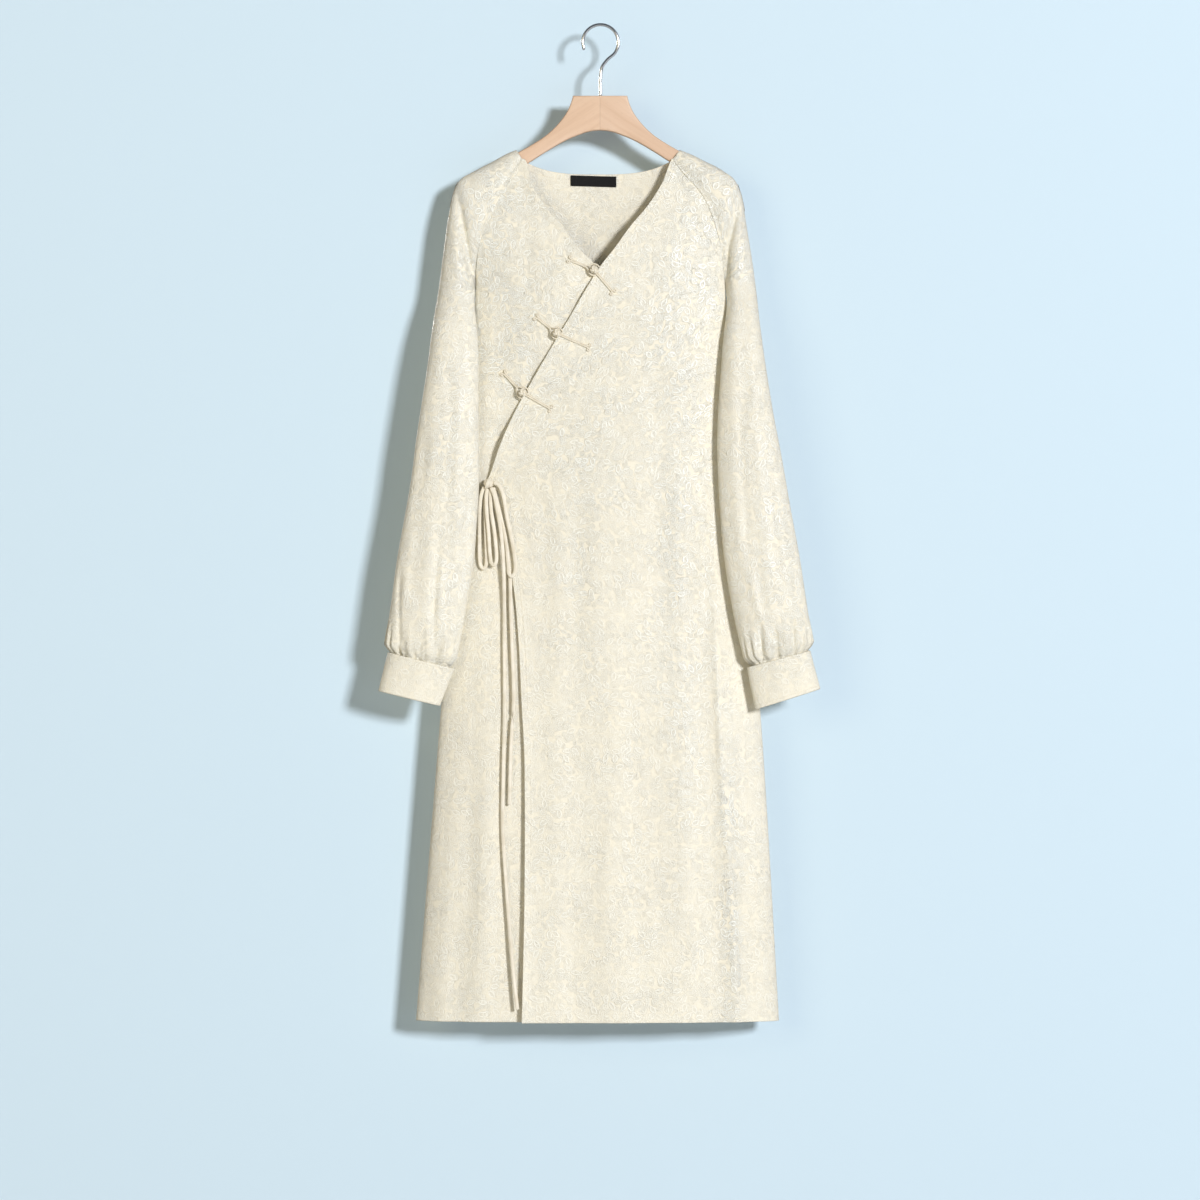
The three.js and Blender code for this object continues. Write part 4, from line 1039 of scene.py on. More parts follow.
# Materials: sockets that can be used in sums, and one way of making any node
class Wire:
    """A socket of a finish that takes part in sums."""

    def __init__(self, finish, socket):
        self.finish = finish
        self.socket = socket

    def other(self, name):
        """Another socket of the same node."""
        return Wire(self.finish, self.socket.node.outputs[name])

    def maths(self, operation, *values):
        inputs = dict(enumerate(values))
        return self.finish.node("ShaderNodeMath", {"operation": operation}, inputs)

    def __add__(self, other):
        return self.maths("ADD", self, other)

    def __radd__(self, other):
        return self.maths("ADD", other, self)

    def __sub__(self, other):
        return self.maths("SUBTRACT", self, other)

    def __rsub__(self, other):
        return self.maths("SUBTRACT", other, self)

    def __mul__(self, other):
        return self.maths("MULTIPLY", self, other)

    def __rmul__(self, other):
        return self.maths("MULTIPLY", other, self)

    def __truediv__(self, other):
        return self.maths("DIVIDE", self, other)

    def size(self):
        return self.maths("ABSOLUTE", self)

    def sine(self):
        return self.maths("SINE", self)

    def cosine(self):
        return self.maths("COSINE", self)

    def fraction(self):
        return self.maths("FRACT", self)

    def at_least(self, other):
        return self.maths("MAXIMUM", self, other)

    def step(self, low, high):
        """From 0 at low to 1 at high, smoothly."""
        inputs = {"Value": self, "From Min": low, "From Max": high}
        return self.finish.node("ShaderNodeMapRange", {"interpolation_type": "SMOOTHSTEP"}, inputs)

    def line(self, half_width, soft):
        """1 where the value is near 0, for lines."""
        return 1 - self.size().step(half_width, half_width + soft)


class Finish:
    """A material in the making."""

    def __init__(self, name):
        self.material = bpy.data.materials.new(name)
        self.material.use_nodes = True
        self.tree = self.material.node_tree
        self.tree.nodes.clear()

    def node(self, kind, settings=None, inputs=None, output=0):
        made = self.tree.nodes.new(kind)
        for key, value in (settings or {}).items():
            if key == "stops":
                self.set_stops(made.color_ramp, value)
            else:
                setattr(made, key, value)
        for key, value in (inputs or {}).items():
            if isinstance(value, Wire):
                self.tree.links.new(value.socket, made.inputs[key])
            else:
                made.inputs[key].default_value = value
        return Wire(self, made.outputs[output]) if made.outputs else made

    @staticmethod
    def set_stops(ramp, stops):
        while len(ramp.elements) < len(stops):
            ramp.elements.new(1)
        for element, (position, colour) in zip(ramp.elements, stops):
            element.position = position
            element.color = (*colour, 1)

    def uv(self):
        return self.node("ShaderNodeUVMap", {"uv_map": "Cloth"})

    def place(self):
        return self.node("ShaderNodeTexCoord", output="Object")

    def parts(self, vector):
        made = self.node("ShaderNodeSeparateXYZ", None, {0: vector})
        return [made.other(axis) for axis in ("X", "Y", "Z")]

    def vector(self, x, y, z=0.0):
        return self.node("ShaderNodeCombineXYZ", None, {0: x, 1: y, 2: z})

    def scaled(self, vector, factor):
        return self.node("ShaderNodeVectorMath", {"operation": "MULTIPLY"}, {0: vector, 1: factor})

    def value(self, name):
        return self.node("ShaderNodeAttribute", {"attribute_name": name}, output="Fac")

    def noise(self, vector, scale, detail=2.0, roughness=0.5):
        inputs = {"Vector": vector, "Scale": scale, "Detail": detail, "Roughness": roughness}
        return self.node("ShaderNodeTexNoise", None, inputs)

    def streaks(self, across, along, scales):
        """Noise drawn out along the threads, from its scales across and along them."""
        return self.noise(self.vector(across * scales[0], along * scales[1]), 1.0)

    def mix(self, factor, first, second):
        inputs = {0: factor, 6: colour(first), 7: colour(second)}
        return self.node("ShaderNodeMix", {"data_type": "RGBA"}, inputs, output=2)

    def raised(self, height, distance, strength=1.0, under=None):
        inputs = {"Height": height, "Distance": distance, "Strength": strength}
        if under:
            inputs["Normal"] = under
        return self.node("ShaderNodeBump", None, inputs)

    def surface(self, **inputs):
        """Ends the material in its shader; underscores stand for the spaces of the socket names."""
        sockets = {key.replace("_", " "): value for key, value in inputs.items()}
        sockets["Base Color"] = colour(sockets["Base Color"])
        shader = self.node("ShaderNodeBsdfPrincipled", None, sockets)
        self.node("ShaderNodeOutputMaterial", None, {0: shader})
        return self.material


def colour(value):
    return value if isinstance(value, Wire) else (*value, 1)


# The woven figure, in shares of the patch that each leaf, curl or hatch has to itself
FIGURE_SCATTER = 0.85
LEAF_HALF = 0.23
LEAF_TAPER = 1.05
LEAF_LINE = 0.045
LEAF_RIM = (0.03, 0.06)
VEIN_EDGE = (0.1, 0.6)
LEAF_VEINS = 34
VEIN_LEAN = 0.9
VEIN_STRENGTH = 0.8
CURL_PITCH = 0.19
CURL_LINE = 0.14
CURL_REACH = (0.38, 0.46)
CURLS_FROM = (0.48, 0.52)
HATCH_BEND = 0.7
HATCH_EDGE = (-0.2, 0.5)
HATCHED_FROM = (0.25, 0.7)


def turned_patches(finish, uv, patch_size, shift, scatter):
    """Scattered patches of the cloth, each with its own turned measures and chances."""
    scale = (1 / patch_size, 1 / patch_size, 0)
    spread = finish.node("ShaderNodeVectorMath", {"operation": "MULTIPLY_ADD"}, {0: uv, 1: scale, 2: shift})
    inputs = {"Vector": spread, "Scale": 1, "Randomness": scatter}
    away = finish.node("ShaderNodeTexVoronoi", {"voronoi_dimensions": "2D"}, inputs, output="Distance")
    middle = away.other("Position")
    from_middle = finish.node("ShaderNodeVectorMath", {"operation": "SUBTRACT"}, {0: spread, 1: middle})
    x, y, _ = finish.parts(from_middle)
    chance, kind, weight = finish.parts(away.other("Color"))
    turn = chance * FULL_TURN
    along = x * turn.cosine() + y * turn.sine()
    aside = y * turn.cosine() - x * turn.sine()
    return along, aside, away, kind, weight


def leaves_and_curls(finish, uv, patch_size, shift):
    """Small leaves with feathered veins and open curls, one to a patch and turned every way."""
    along, aside, away, kind, _ = turned_patches(finish, uv, patch_size, shift, FIGURE_SCATTER)
    half = LEAF_HALF - along * along * LEAF_TAPER
    inside = (half - aside.size()).step(*LEAF_RIM)
    outline = (aside.size() - half).line(LEAF_LINE, LEAF_LINE)
    veins = ((along + aside.size() * VEIN_LEAN) * LEAF_VEINS).sine().step(*VEIN_EDGE) * inside
    leaf = outline.at_least(veins * VEIN_STRENGTH)
    around = aside.maths("ARCTAN2", aside, along) / FULL_TURN
    spiral = ((away / CURL_PITCH - around).fraction() - 0.5).line(CURL_LINE, CURL_LINE)
    curl = spiral * (1 - away.step(*CURL_REACH))
    chosen = kind.step(*CURLS_FROM)
    return leaf * (1 - chosen) + curl * chosen


def hatching(finish, uv, patch_size, pitch, shift):
    """Feathered hatches, each patch of them turned its own way."""
    along, aside, _, _, weight = turned_patches(finish, uv, patch_size, shift, 1.0)
    bent = along + aside * aside * HATCH_BEND
    lines = (bent * (FULL_TURN * patch_size / pitch)).sine().step(*HATCH_EDGE)
    return lines * weight.step(*HATCHED_FROM)


# How much each part of the figure shows, and how far it comes and goes over the cloth
SMALL_SHARE = 0.85
HATCH_SHARE = 0.6
FIGURE_LEAST = 0.65
FIGURE_PATCHY = 0.7
PATCHY_SCALE = 26.0
PATCHY_EDGE = (0.3, 0.7)

# Tints of the silks, the thread, the label, the beech and the wire
GROUND_LOW = (0.845, 0.775, 0.605)
GROUND_HIGH = (0.885, 0.815, 0.645)
GROUND_FLECK = (0.97, 0.925, 0.765)
# The figure's tint, lighter than the ground: partly its own tone, partly painted satin sheen
FIGURE_TINT_AND_SHEEN = (1.0, 0.985, 0.875)
SILK_SHEEN = (1.0, 0.95, 0.84, 1.0)
TRIM_LOW = (0.78, 0.70, 0.535)
TRIM_HIGH = (0.87, 0.80, 0.65)
TRIM_SHEEN = (1.0, 0.97, 0.9, 1.0)
THREAD_LOW = (0.70, 0.62, 0.46)
THREAD_HIGH = (0.84, 0.77, 0.62)
LABEL_DARK = (0.003, 0.003, 0.0028)
LABEL_DUST = (0.012, 0.011, 0.010)
BEECH_STOPS = [(0.25, (0.66, 0.43, 0.27)), (0.5, (0.74, 0.51, 0.34)), (0.8, (0.80, 0.58, 0.41))]
BEECH_FLECK = (0.56, 0.37, 0.24)
BEECH_OTHER_HALF = (0.62, 0.42, 0.28)
BEECH_JOIN = (0.42, 0.27, 0.16)
PLATING = (0.72, 0.73, 0.74)
PLATING_WORN = (0.60, 0.60, 0.60)

# Pitches of the weaves and the heights that they stand
LARGE_PATCH = 0.0118
SMALL_PATCH = 0.0080
HATCH_PATCH = 0.0074
HATCH_PITCH = 0.0025
SATIN_PITCH = 0.0009
TRIM_PITCH = 0.0008
WARP_PITCH = 0.00045
WEFT_PITCH = 0.0006
WEAVE_HEIGHT = 0.00014
FIGURE_HEIGHT = 0.0009
TRIM_HEIGHT = 0.00008
THREAD_HEIGHT = 0.00004
LABEL_HEIGHT = 0.00006
GRAIN_HEIGHT = 0.00018
DRAWN_HEIGHT = 0.00003
THREAD_RISE = 0.5
SATIN_RISE = 0.12
SLUB_RISE = 0.9
WEAVE_STRENGTH = 0.7
DIAGONAL_RISE = 0.4
TRIM_STRENGTH = 0.6
LABEL_STRENGTH = 0.7
BANDS_RISE = 0.4
PORES_RISE = 0.3
JOIN_SINK = 1.2
GRAIN_STRENGTH = 0.6
DRAWN_STRENGTH = 0.4

# Threads, slubs, tones, dust, grain and wear: their scales in marks to a metre, their edges and shares
SILK_THREADS = (1700.0, 160.0)
SILK_SLUBS = (420.0, 330.0)
SLUB_EDGE = (0.35, 0.7)
SATIN_LEAN = 0.35
SILK_TONE_SCALE = 5.0
SILK_TONE_EDGE = (0.25, 0.75)
FLECK_SHARE = 0.25
TRIM_THREADS = (1500.0, 250.0)
TRIM_LEAN = 0.6
TRIM_TONE_SCALE = 60.0
TRIM_TONE_EDGE = (0.3, 0.7)
THREAD_SCALE = 2600.0
LABEL_DUST_SCALE = 700.0
LABEL_WEAVE_SHARE = 0.3
LABEL_DUST_SHARE = 0.5
GRAIN_SCALES = (14.0, 210.0, 160.0)
GRAIN_HALVES_APART = 5.0
BANDS_SCALE = 0.55
PORE_SCALES = (90.0, 1500.0, 1200.0)
FLECK_SCALES = (260.0, 900.0, 900.0)
FLECK_EDGE = (0.62, 0.74)
DRAWN_SCALES = (900.0, 900.0, 60.0)
WEAR_SCALE = 140.0
WEAR_EDGE = (0.5, 0.75)

# Roughness of each finish, and how far its threads, figure, pores or wear change it
SILK_ROUGH = 0.54
FIGURE_GLOSS = 0.28
THREAD_ROUGH = 0.06
TRIM_ROUGH = 0.46
TRIM_THREAD_ROUGH = 0.12
SEWN_ROUGH = 0.45
SEWN_TWIST_ROUGH = 0.1
LABEL_ROUGH = 0.62
LABEL_DUST_ROUGH = 0.15
BEECH_ROUGH = 0.40
BEECH_PORE_ROUGH = 0.14
BEECH_COAT = 0.15
BEECH_PORE_COAT = 0.1
PLATING_ROUGH = 0.12
PLATING_MARKS_ROUGH = 0.08

# The hanger's grain: the lie of its arms, its joined halves and the line between them
ARM_RUN = 0.84
ARM_FALL = 0.54
HALVES_EDGE = 0.0001
JOIN_HALF = 0.00018
JOIN_SOFT = 0.00022
JOIN_SHARE = 0.45
OTHER_HALF_SHARE = 0.2
BEECH_FLECK_SHARE = 0.25


def silk_jacquard():
    finish = Finish("Ivory silk jacquard")
    uv = finish.uv()
    large = leaves_and_curls(finish, uv, LARGE_PATCH, shift=(0.0, 0.0, 0.0))
    small = leaves_and_curls(finish, uv, SMALL_PATCH, shift=(7.3, 3.1, 0.0))
    hatched = hatching(finish, uv, HATCH_PATCH, HATCH_PITCH, shift=(2.9, 5.7, 0.0))
    patchy = finish.noise(uv, PATCHY_SCALE, detail=3.0).step(*PATCHY_EDGE)
    # The figure's strength from each point carries painted sheen at the listed spots and a painted
    # highlight along the crease
    strength = finish.value("figure") * (FIGURE_LEAST + patchy * FIGURE_PATCHY)
    figure = large.at_least(small * SMALL_SHARE).at_least(hatched * HATCH_SHARE) * strength
    across, along, _ = finish.parts(uv)
    thread = finish.streaks(across, along, SILK_THREADS)
    slub = finish.streaks(across, along, SILK_SLUBS).step(*SLUB_EDGE)
    satin = ((across + along * SATIN_LEAN) * (FULL_TURN / SATIN_PITCH)).sine()
    tone = finish.noise(uv, SILK_TONE_SCALE).step(*SILK_TONE_EDGE)
    ground = finish.mix(tone, GROUND_LOW, GROUND_HIGH)
    flecked = finish.mix(thread * FLECK_SHARE + slub * FLECK_SHARE, ground, GROUND_FLECK)
    # The figure lightens the ground towards its tint: a real pattern that also carries painted sheen
    shade = finish.mix(figure, flecked, FIGURE_TINT_AND_SHEEN)
    threads = thread * THREAD_RISE + satin * SATIN_RISE + slub * SLUB_RISE
    weave = finish.raised(threads, WEAVE_HEIGHT, WEAVE_STRENGTH)
    normal = finish.raised(figure, FIGURE_HEIGHT, 1.0, weave)
    return finish.surface(
        Base_Color=shade, Normal=normal,
        Roughness=SILK_ROUGH - figure * FIGURE_GLOSS + thread * THREAD_ROUGH,
        Specular_IOR_Level=0.36, Sheen_Weight=0.12, Sheen_Roughness=0.4, Sheen_Tint=SILK_SHEEN)


def silk_trim():
    finish = Finish("Plain ivory silk of the ties and frogs")
    uv = finish.uv()
    around, along, _ = finish.parts(uv)
    diagonal = ((around + along * TRIM_LEAN) * (FULL_TURN / TRIM_PITCH)).sine()
    thread = finish.streaks(around, along, TRIM_THREADS)
    tone = finish.noise(uv, TRIM_TONE_SCALE).step(*TRIM_TONE_EDGE)
    shade = finish.mix(tone, TRIM_LOW, TRIM_HIGH)
    normal = finish.raised(diagonal * DIAGONAL_RISE + thread, TRIM_HEIGHT, TRIM_STRENGTH)
    return finish.surface(
        Base_Color=shade, Roughness=TRIM_ROUGH + thread * TRIM_THREAD_ROUGH, Normal=normal,
        Specular_IOR_Level=0.5, Sheen_Weight=0.2, Sheen_Roughness=0.4, Sheen_Tint=TRIM_SHEEN)


def silk_thread():
    finish = Finish("Ivory sewing thread")
    twist = finish.noise(finish.place(), THREAD_SCALE, detail=1.0)
    shade = finish.mix(twist, THREAD_LOW, THREAD_HIGH)
    normal = finish.raised(twist, THREAD_HEIGHT)
    return finish.surface(Base_Color=shade, Roughness=SEWN_ROUGH + twist * SEWN_TWIST_ROUGH, Normal=normal)


def black_label():
    finish = Finish("Black woven label")
    uv = finish.uv()
    across, along, _ = finish.parts(uv)
    warp = (across * (FULL_TURN / WARP_PITCH)).sine()
    weft = (along * (FULL_TURN / WEFT_PITCH)).sine()
    weave = warp * weft
    dust = finish.noise(uv, LABEL_DUST_SCALE, detail=3.0)
    shade = finish.mix(weave * LABEL_WEAVE_SHARE + dust * LABEL_DUST_SHARE, LABEL_DARK, LABEL_DUST)
    normal = finish.raised(weave, LABEL_HEIGHT, LABEL_STRENGTH)
    return finish.surface(
        Base_Color=shade, Roughness=LABEL_ROUGH + dust * LABEL_DUST_ROUGH, Normal=normal,
        Specular_IOR_Level=0.25)


def beech():
    """Two halves joined on the middle, with their grain running down each arm."""
    finish = Finish("Pale beech")
    x, y, z = finish.parts(finish.place())
    arm = (x - WOOD_SHIFT).size()
    along, aside = arm * ARM_RUN - z * ARM_FALL, arm * ARM_FALL + z * ARM_RUN
    side = x.step(WOOD_SHIFT - HALVES_EDGE, WOOD_SHIFT + HALVES_EDGE)

    def lengthwise(scales, apart=None):
        down = along * scales[0] + apart if apart else along * scales[0]
        return finish.vector(down, aside * scales[1], y * scales[2])

    bands = finish.noise(lengthwise(GRAIN_SCALES, side * GRAIN_HALVES_APART), BANDS_SCALE, 4.0, 0.6)
    pores = finish.noise(lengthwise(PORE_SCALES), 1.0)
    fleck = finish.noise(lengthwise(FLECK_SCALES), 1.0, detail=1.0).step(*FLECK_EDGE)
    tones = finish.node("ShaderNodeValToRGB", {"stops": BEECH_STOPS}, {0: bands})
    flecked = finish.mix(fleck * BEECH_FLECK_SHARE, tones, BEECH_FLECK)
    halves = finish.mix(side * OTHER_HALF_SHARE, flecked, BEECH_OTHER_HALF)
    join = (x - WOOD_SHIFT).line(JOIN_HALF, JOIN_SOFT)
    shade = finish.mix(join * JOIN_SHARE, halves, BEECH_JOIN)
    relief = bands * BANDS_RISE + pores * PORES_RISE - join * JOIN_SINK
    normal = finish.raised(relief, GRAIN_HEIGHT, GRAIN_STRENGTH)
    return finish.surface(
        Base_Color=shade, Roughness=BEECH_ROUGH + pores * BEECH_PORE_ROUGH, Normal=normal,
        Coat_Weight=BEECH_COAT + pores * BEECH_PORE_COAT, Coat_Roughness=0.3)


def bright_wire():
    finish = Finish("Bright plated wire")
    place = finish.place()
    drawn = finish.noise(finish.scaled(place, DRAWN_SCALES), 1.0)
    wear = finish.noise(place, WEAR_SCALE, detail=3.0).step(*WEAR_EDGE)
    shade = finish.mix(wear, PLATING, PLATING_WORN)
    rough = PLATING_ROUGH + drawn * PLATING_MARKS_ROUGH + wear * PLATING_MARKS_ROUGH
    normal = finish.raised(drawn, DRAWN_HEIGHT, DRAWN_STRENGTH)
    return finish.surface(Base_Color=shade, Metallic=1.0, Roughness=rough, Normal=normal)


SILK = silk_jacquard()
TRIM = silk_trim()
THREAD = silk_thread()
LABEL_CLOTH = black_label()
WOOD = beech()
CHROME = bright_wire()


# The camera, straight on with a long lens
VIEW_MIDDLE = Vector((-0.00065, 0.0, -0.7402))
VIEW_WIDTH = 1.548
VIEW_DISTANCE = 6.0
SENSOR = 36.0
VIEW_END = 40


def add_camera():
    data = bpy.data.cameras.new("Camera")
    data.sensor_width = SENSOR
    data.lens = SENSOR * VIEW_DISTANCE / VIEW_WIDTH
    data.clip_end = VIEW_END
    camera = bpy.data.objects.new("Camera", data)
    camera.location = VIEW_MIDDLE - Vector((0, VIEW_DISTANCE, 0))
    camera.rotation_euler = (math.pi / 2, 0, 0)
    bpy.context.scene.collection.objects.link(camera)
    bpy.context.scene.camera = camera


add_camera()

# The bow's loops and tails
OUT = np.array([0.0, -1.0, 0.0])
TIE_STEPS = 10
TWIST_PLACE = -0.8924
TWIST_RUN = 0.022
ROLL_WAVE = 46
ROLL_START = 0.05
FLAT_WAVE = 31
FLAT_SHARE = 0.22
WIDTH_SWING = 0.08
THICK_SWING = 0.2
TIE_SIDES = 16
TIE_SQUARENESS = 0.8


def tie_line(name):
    route = TIES[name]
    points = on_front(outer_point, route["x"], route["z"], route["out"])
    points[0, 1] = points[1, 1]
    return smooth_route(points, TIE_STEPS)


def add_tie(name, wave, phase, twists=()):
    """A flat tie along its route, rolling a little from side to side."""
    line = tie_line(name)
    along = np.concatenate([[0], np.cumsum(np.linalg.norm(np.diff(line, axis=0), axis=-1))])
    roll = wave * np.sin(along * ROLL_WAVE + phase) * smooth_step(along / ROLL_START)
    for place in twists:
        roll = roll + math.pi * smooth_step((place - line[:, 2]) / TWIST_RUN + 0.5)
    flat = 1 - FLAT_SHARE * (0.5 + 0.5 * np.sin(along * FLAT_WAVE + phase))
    wide = TIE_WIDTH * (1 - WIDTH_SWING + WIDTH_SWING * flat)
    thick = TIE_THICK * (1 - THICK_SWING + THICK_SWING * flat)
    part = ribbon(line, OUT, wide, thick, TIE_SIDES, TIE_SQUARENESS, roll)
    piece = finish_piece(name + "_silk", outward_mesh(name + "_silk", [part]), TRIM, [name])
    tuple(line[0])
    [tuple(p) for p in line]


add_tie("tail_long", wave=0.30, phase=0.4)
add_tie("tail_short", wave=0.22, phase=1.1, twists=[TWIST_PLACE])
add_tie("bow_loop_1", wave=0.25, phase=0.2)
add_tie("bow_loop_2", wave=0.20, phase=2.0)
add_tie("bow_loop_3", wave=0.25, phase=3.4)


# How strongly the woven figure shows, from place to place: where it is raised, its lighter tint is painted
# sheen, with more gloss and relief; the last two rows dim it on the cuffs
FIGURE_SHEEN_SPOTS = table("x z wide high strength", [
    (-0.150, -0.25, 0.050, 0.16, 0.50),
    (0.140, -0.25, 0.055, 0.17, 0.55),
    (-0.120, -0.42, 0.040, 0.12, 0.30),
    (0.102, -0.62, 0.034, 0.36, 0.42),
    (0.000, -0.40, 0.100, 0.14, 0.25),
    (-0.030, -0.60, 0.040, 0.16, 0.22),
    (0.165, -1.12, 0.012, 0.20, 0.50),
    (-0.200, -0.60, 0.040, 0.25, 0.20),
    (0.215, -0.66, 0.040, 0.22, 0.30),
    (-0.235, -0.865, 0.060, 0.030, -0.30),
    (0.235, -0.865, 0.060, 0.030, -0.30),
])
FIGURE_BASE = 0.48
# The crease low on the right, where the figure is painted brighter: a painted highlight along the fold
FIGURE_HIGHLIGHT_CREASE = table("x0 z0 x1 z1 width rise bow", [
    (0.147, -0.72, 0.1615, -1.075, 0.0030, 0.45, 0.002),
    (0.1615, -1.03, 0.1775, -1.278, 0.0034, 0.80, -0.001),
])


# The figure's strength at each point: a base level, painted sheen at the listed spots, and a painted
# highlight along the crease on the front
def figure_and_sheen_strength(points):
    x, z = points[:, 0], points[:, 2]
    total = np.full(len(points), FIGURE_BASE)
    for spot in rows_of(FIGURE_SHEEN_SPOTS):
        across, along = bump(x - spot["x"], spot["wide"]), bump(z - spot["z"], spot["high"])
        total = total + spot["strength"] * across * along
    # Painted highlight along the crease, on the front only
    total = total + crease_rise(FIGURE_HIGHLIGHT_CREASE, x, z) * (points[:, 1] < 0)
    return np.minimum(total, 1)


# Panels, sleeves and cuffs
PANEL_HEIGHTS = heights_between((NECK_TOP, 0), (-0.1835, 10), (ARMPIT, 52), (-1.262, 212), (HEM, 14))
EDGE_COLUMNS = (0, 0.0004, 0.0016, 0.0032, 0.005, 0.0062, 0.0068, 0.0073, 0.0078, 0.0086, 0.0094, 0.012)
OUTER_COLUMNS = 92
UNDER_COLUMNS = 70
BACK_COLUMNS = 120
SLEEVE_COLUMNS = 150
CUFF_COLUMNS = 150


def width_at(z, edge, side):
    limits = body_point(-1, side * across_limit(-1, z), z)[..., 0]
    return np.abs(limits - edge)


def add_panel(name, node, surface, u, z, **wall):
    mesh = cloth_wall(name, surface, u, z, figure=figure_and_sheen_strength, **wall)
    return finish_piece(name, mesh, SILK, [node])


outer_width = width_at(PANEL_HEIGHTS, read(OUTER_EDGE, "x", PANEL_HEIGHTS), 1)
u, z = edge_grid(OUTER_COLUMNS, PANEL_HEIGHTS, outer_width, EDGE_COLUMNS, -1)
front = add_panel("outer_front_silk", "front_outer", outer_front, u, z)
under_width = width_at(PANEL_HEIGHTS, read(UNDER_EDGE, "x", PANEL_HEIGHTS), -1)
u, z = edge_grid(UNDER_COLUMNS, PANEL_HEIGHTS, under_width, EDGE_COLUMNS, 1)
under = add_panel("under_front_silk", "front_under", under_front, u, z, offset=(0.371, 0.113))
u, z = even_grid(BACK_COLUMNS, PANEL_HEIGHTS)
back = add_panel("back_silk", "back", back_panel, u, z, flip=-1, offset=(0.913, 0.257))

CAP_HEIGHTS = heights_between((NECK_TOP, 0), (-0.1835, 10), (ARMPIT, 50))
CAP_ROWS = len(CAP_HEIGHTS)
GATHER_ROOM = 0.075
GATHER_ROWS = 46
SLEEVE_ROWS = 82
CUFF_SEAM_ROOM = 0.006
CUFF_SEAM_ROWS = 8
CUFF_ROWS = 24


def sleeve_heights(wrist):
    below = heights_between((ARMPIT, 0), (wrist + GATHER_ROOM, SLEEVE_ROWS), (wrist, GATHER_ROWS))
    return np.concatenate([CAP_HEIGHTS, below[1:]])


def add_sleeve(name, node, side, source, wrist, depth, creases, offset):
    surface = sleeve(side, source, wrist, depth, creases)
    u, z = even_grid(SLEEVE_COLUMNS, sleeve_heights(wrist))
    return add_panel(name, node, surface, u, z, flip=side, closes_from=CAP_ROWS - 1, offset=offset)


def add_cuff(name, node, side, source, offset):
    top, low = source["z"][0], source["z"][-1]
    heights = heights_between((top, 0), (top - CUFF_SEAM_ROOM, CUFF_SEAM_ROWS), (low, CUFF_ROWS))
    u, z = even_grid(CUFF_COLUMNS, heights)
    return add_panel(name, node, cuff(side, source), u, z, flip=side, closes_from=0, thick=CUFF_SHEET,
                     offset=offset)


left_sleeve = add_sleeve("sleeve_left_silk", "sleeve_left", -1, LEFT_SLEEVE, LEFT_WRIST, depth=0.0038,
                         creases=LEFT_SLEEVE_CREASES, offset=(1.717, 0.391))
right_sleeve = add_sleeve("sleeve_right_silk", "sleeve_right", 1, RIGHT_SLEEVE, RIGHT_WRIST, depth=0.0030,
                          creases=RIGHT_SLEEVE_CREASES, offset=(2.311, 0.543))
left_cuff = add_cuff("cuff_left_silk", "cuff_left", -1, LEFT_CUFF, offset=(2.917, 0.671))
right_cuff = add_cuff("cuff_right_silk", "cuff_right", 1, RIGHT_CUFF, offset=(3.319, 0.787))


# Stitching, from one tree of nodes that lays thread along lines
def stitch_tree():
    tree = bpy.data.node_groups.new("Stitches along lines", "GeometryNodeTree")
    tree.interface.new_socket("Lines", in_out="INPUT", socket_type="NodeSocketGeometry")
    for name in ("Pitch", "Length", "Width"):
        tree.interface.new_socket(name, in_out="INPUT", socket_type="NodeSocketFloat")
    tree.interface.new_socket("Thread", in_out="INPUT", socket_type="NodeSocketMaterial")
    tree.interface.new_socket("Stitches", in_out="OUTPUT", socket_type="NodeSocketGeometry")

    def node(kind, settings=None, **links):
        made = tree.nodes.new(kind)
        for key, value in (settings or {}).items():
            setattr(made, key, value)
        for key, value in links.items():
            socket = made.inputs[key.replace("_", " ")]
            if isinstance(value, bpy.types.NodeSocket):
                tree.links.new(value, socket)
            else:
                socket.default_value = value
        return made

    given = node("NodeGroupInput").outputs
    curve = node("GeometryNodeMeshToCurve", Mesh=given["Lines"])
    spaced = node("GeometryNodeResampleCurve", {"mode": "LENGTH"}, Curve=curve.outputs["Curve"],
                  Length=given["Pitch"])
    ball = node("GeometryNodeMeshUVSphere", Segments=6, Rings=4, Radius=0.5)
    size = node("ShaderNodeCombineXYZ", X=given["Width"], Y=given["Width"], Z=given["Length"])
    way = node("GeometryNodeInputTangent")
    turned = node("FunctionNodeAlignRotationToVector", {"axis": "Z"}, Vector=way.outputs["Tangent"])
    laid = node("GeometryNodeInstanceOnPoints", Points=spaced.outputs["Curve"],
                Instance=ball.outputs["Mesh"], Rotation=turned.outputs["Rotation"],
                Scale=size.outputs["Vector"])
    real = node("GeometryNodeRealizeInstances", Geometry=laid.outputs["Instances"])
    dyed = node("GeometryNodeSetMaterial", Geometry=real.outputs["Geometry"], Material=given["Thread"])
    node("NodeGroupOutput", Stitches=dyed.outputs["Geometry"])
    return tree


STITCH_TREE = stitch_tree()
STITCH_PITCH = 0.0027
STITCH_LENGTH = 0.0021
STITCH_WIDTH = 0.00042


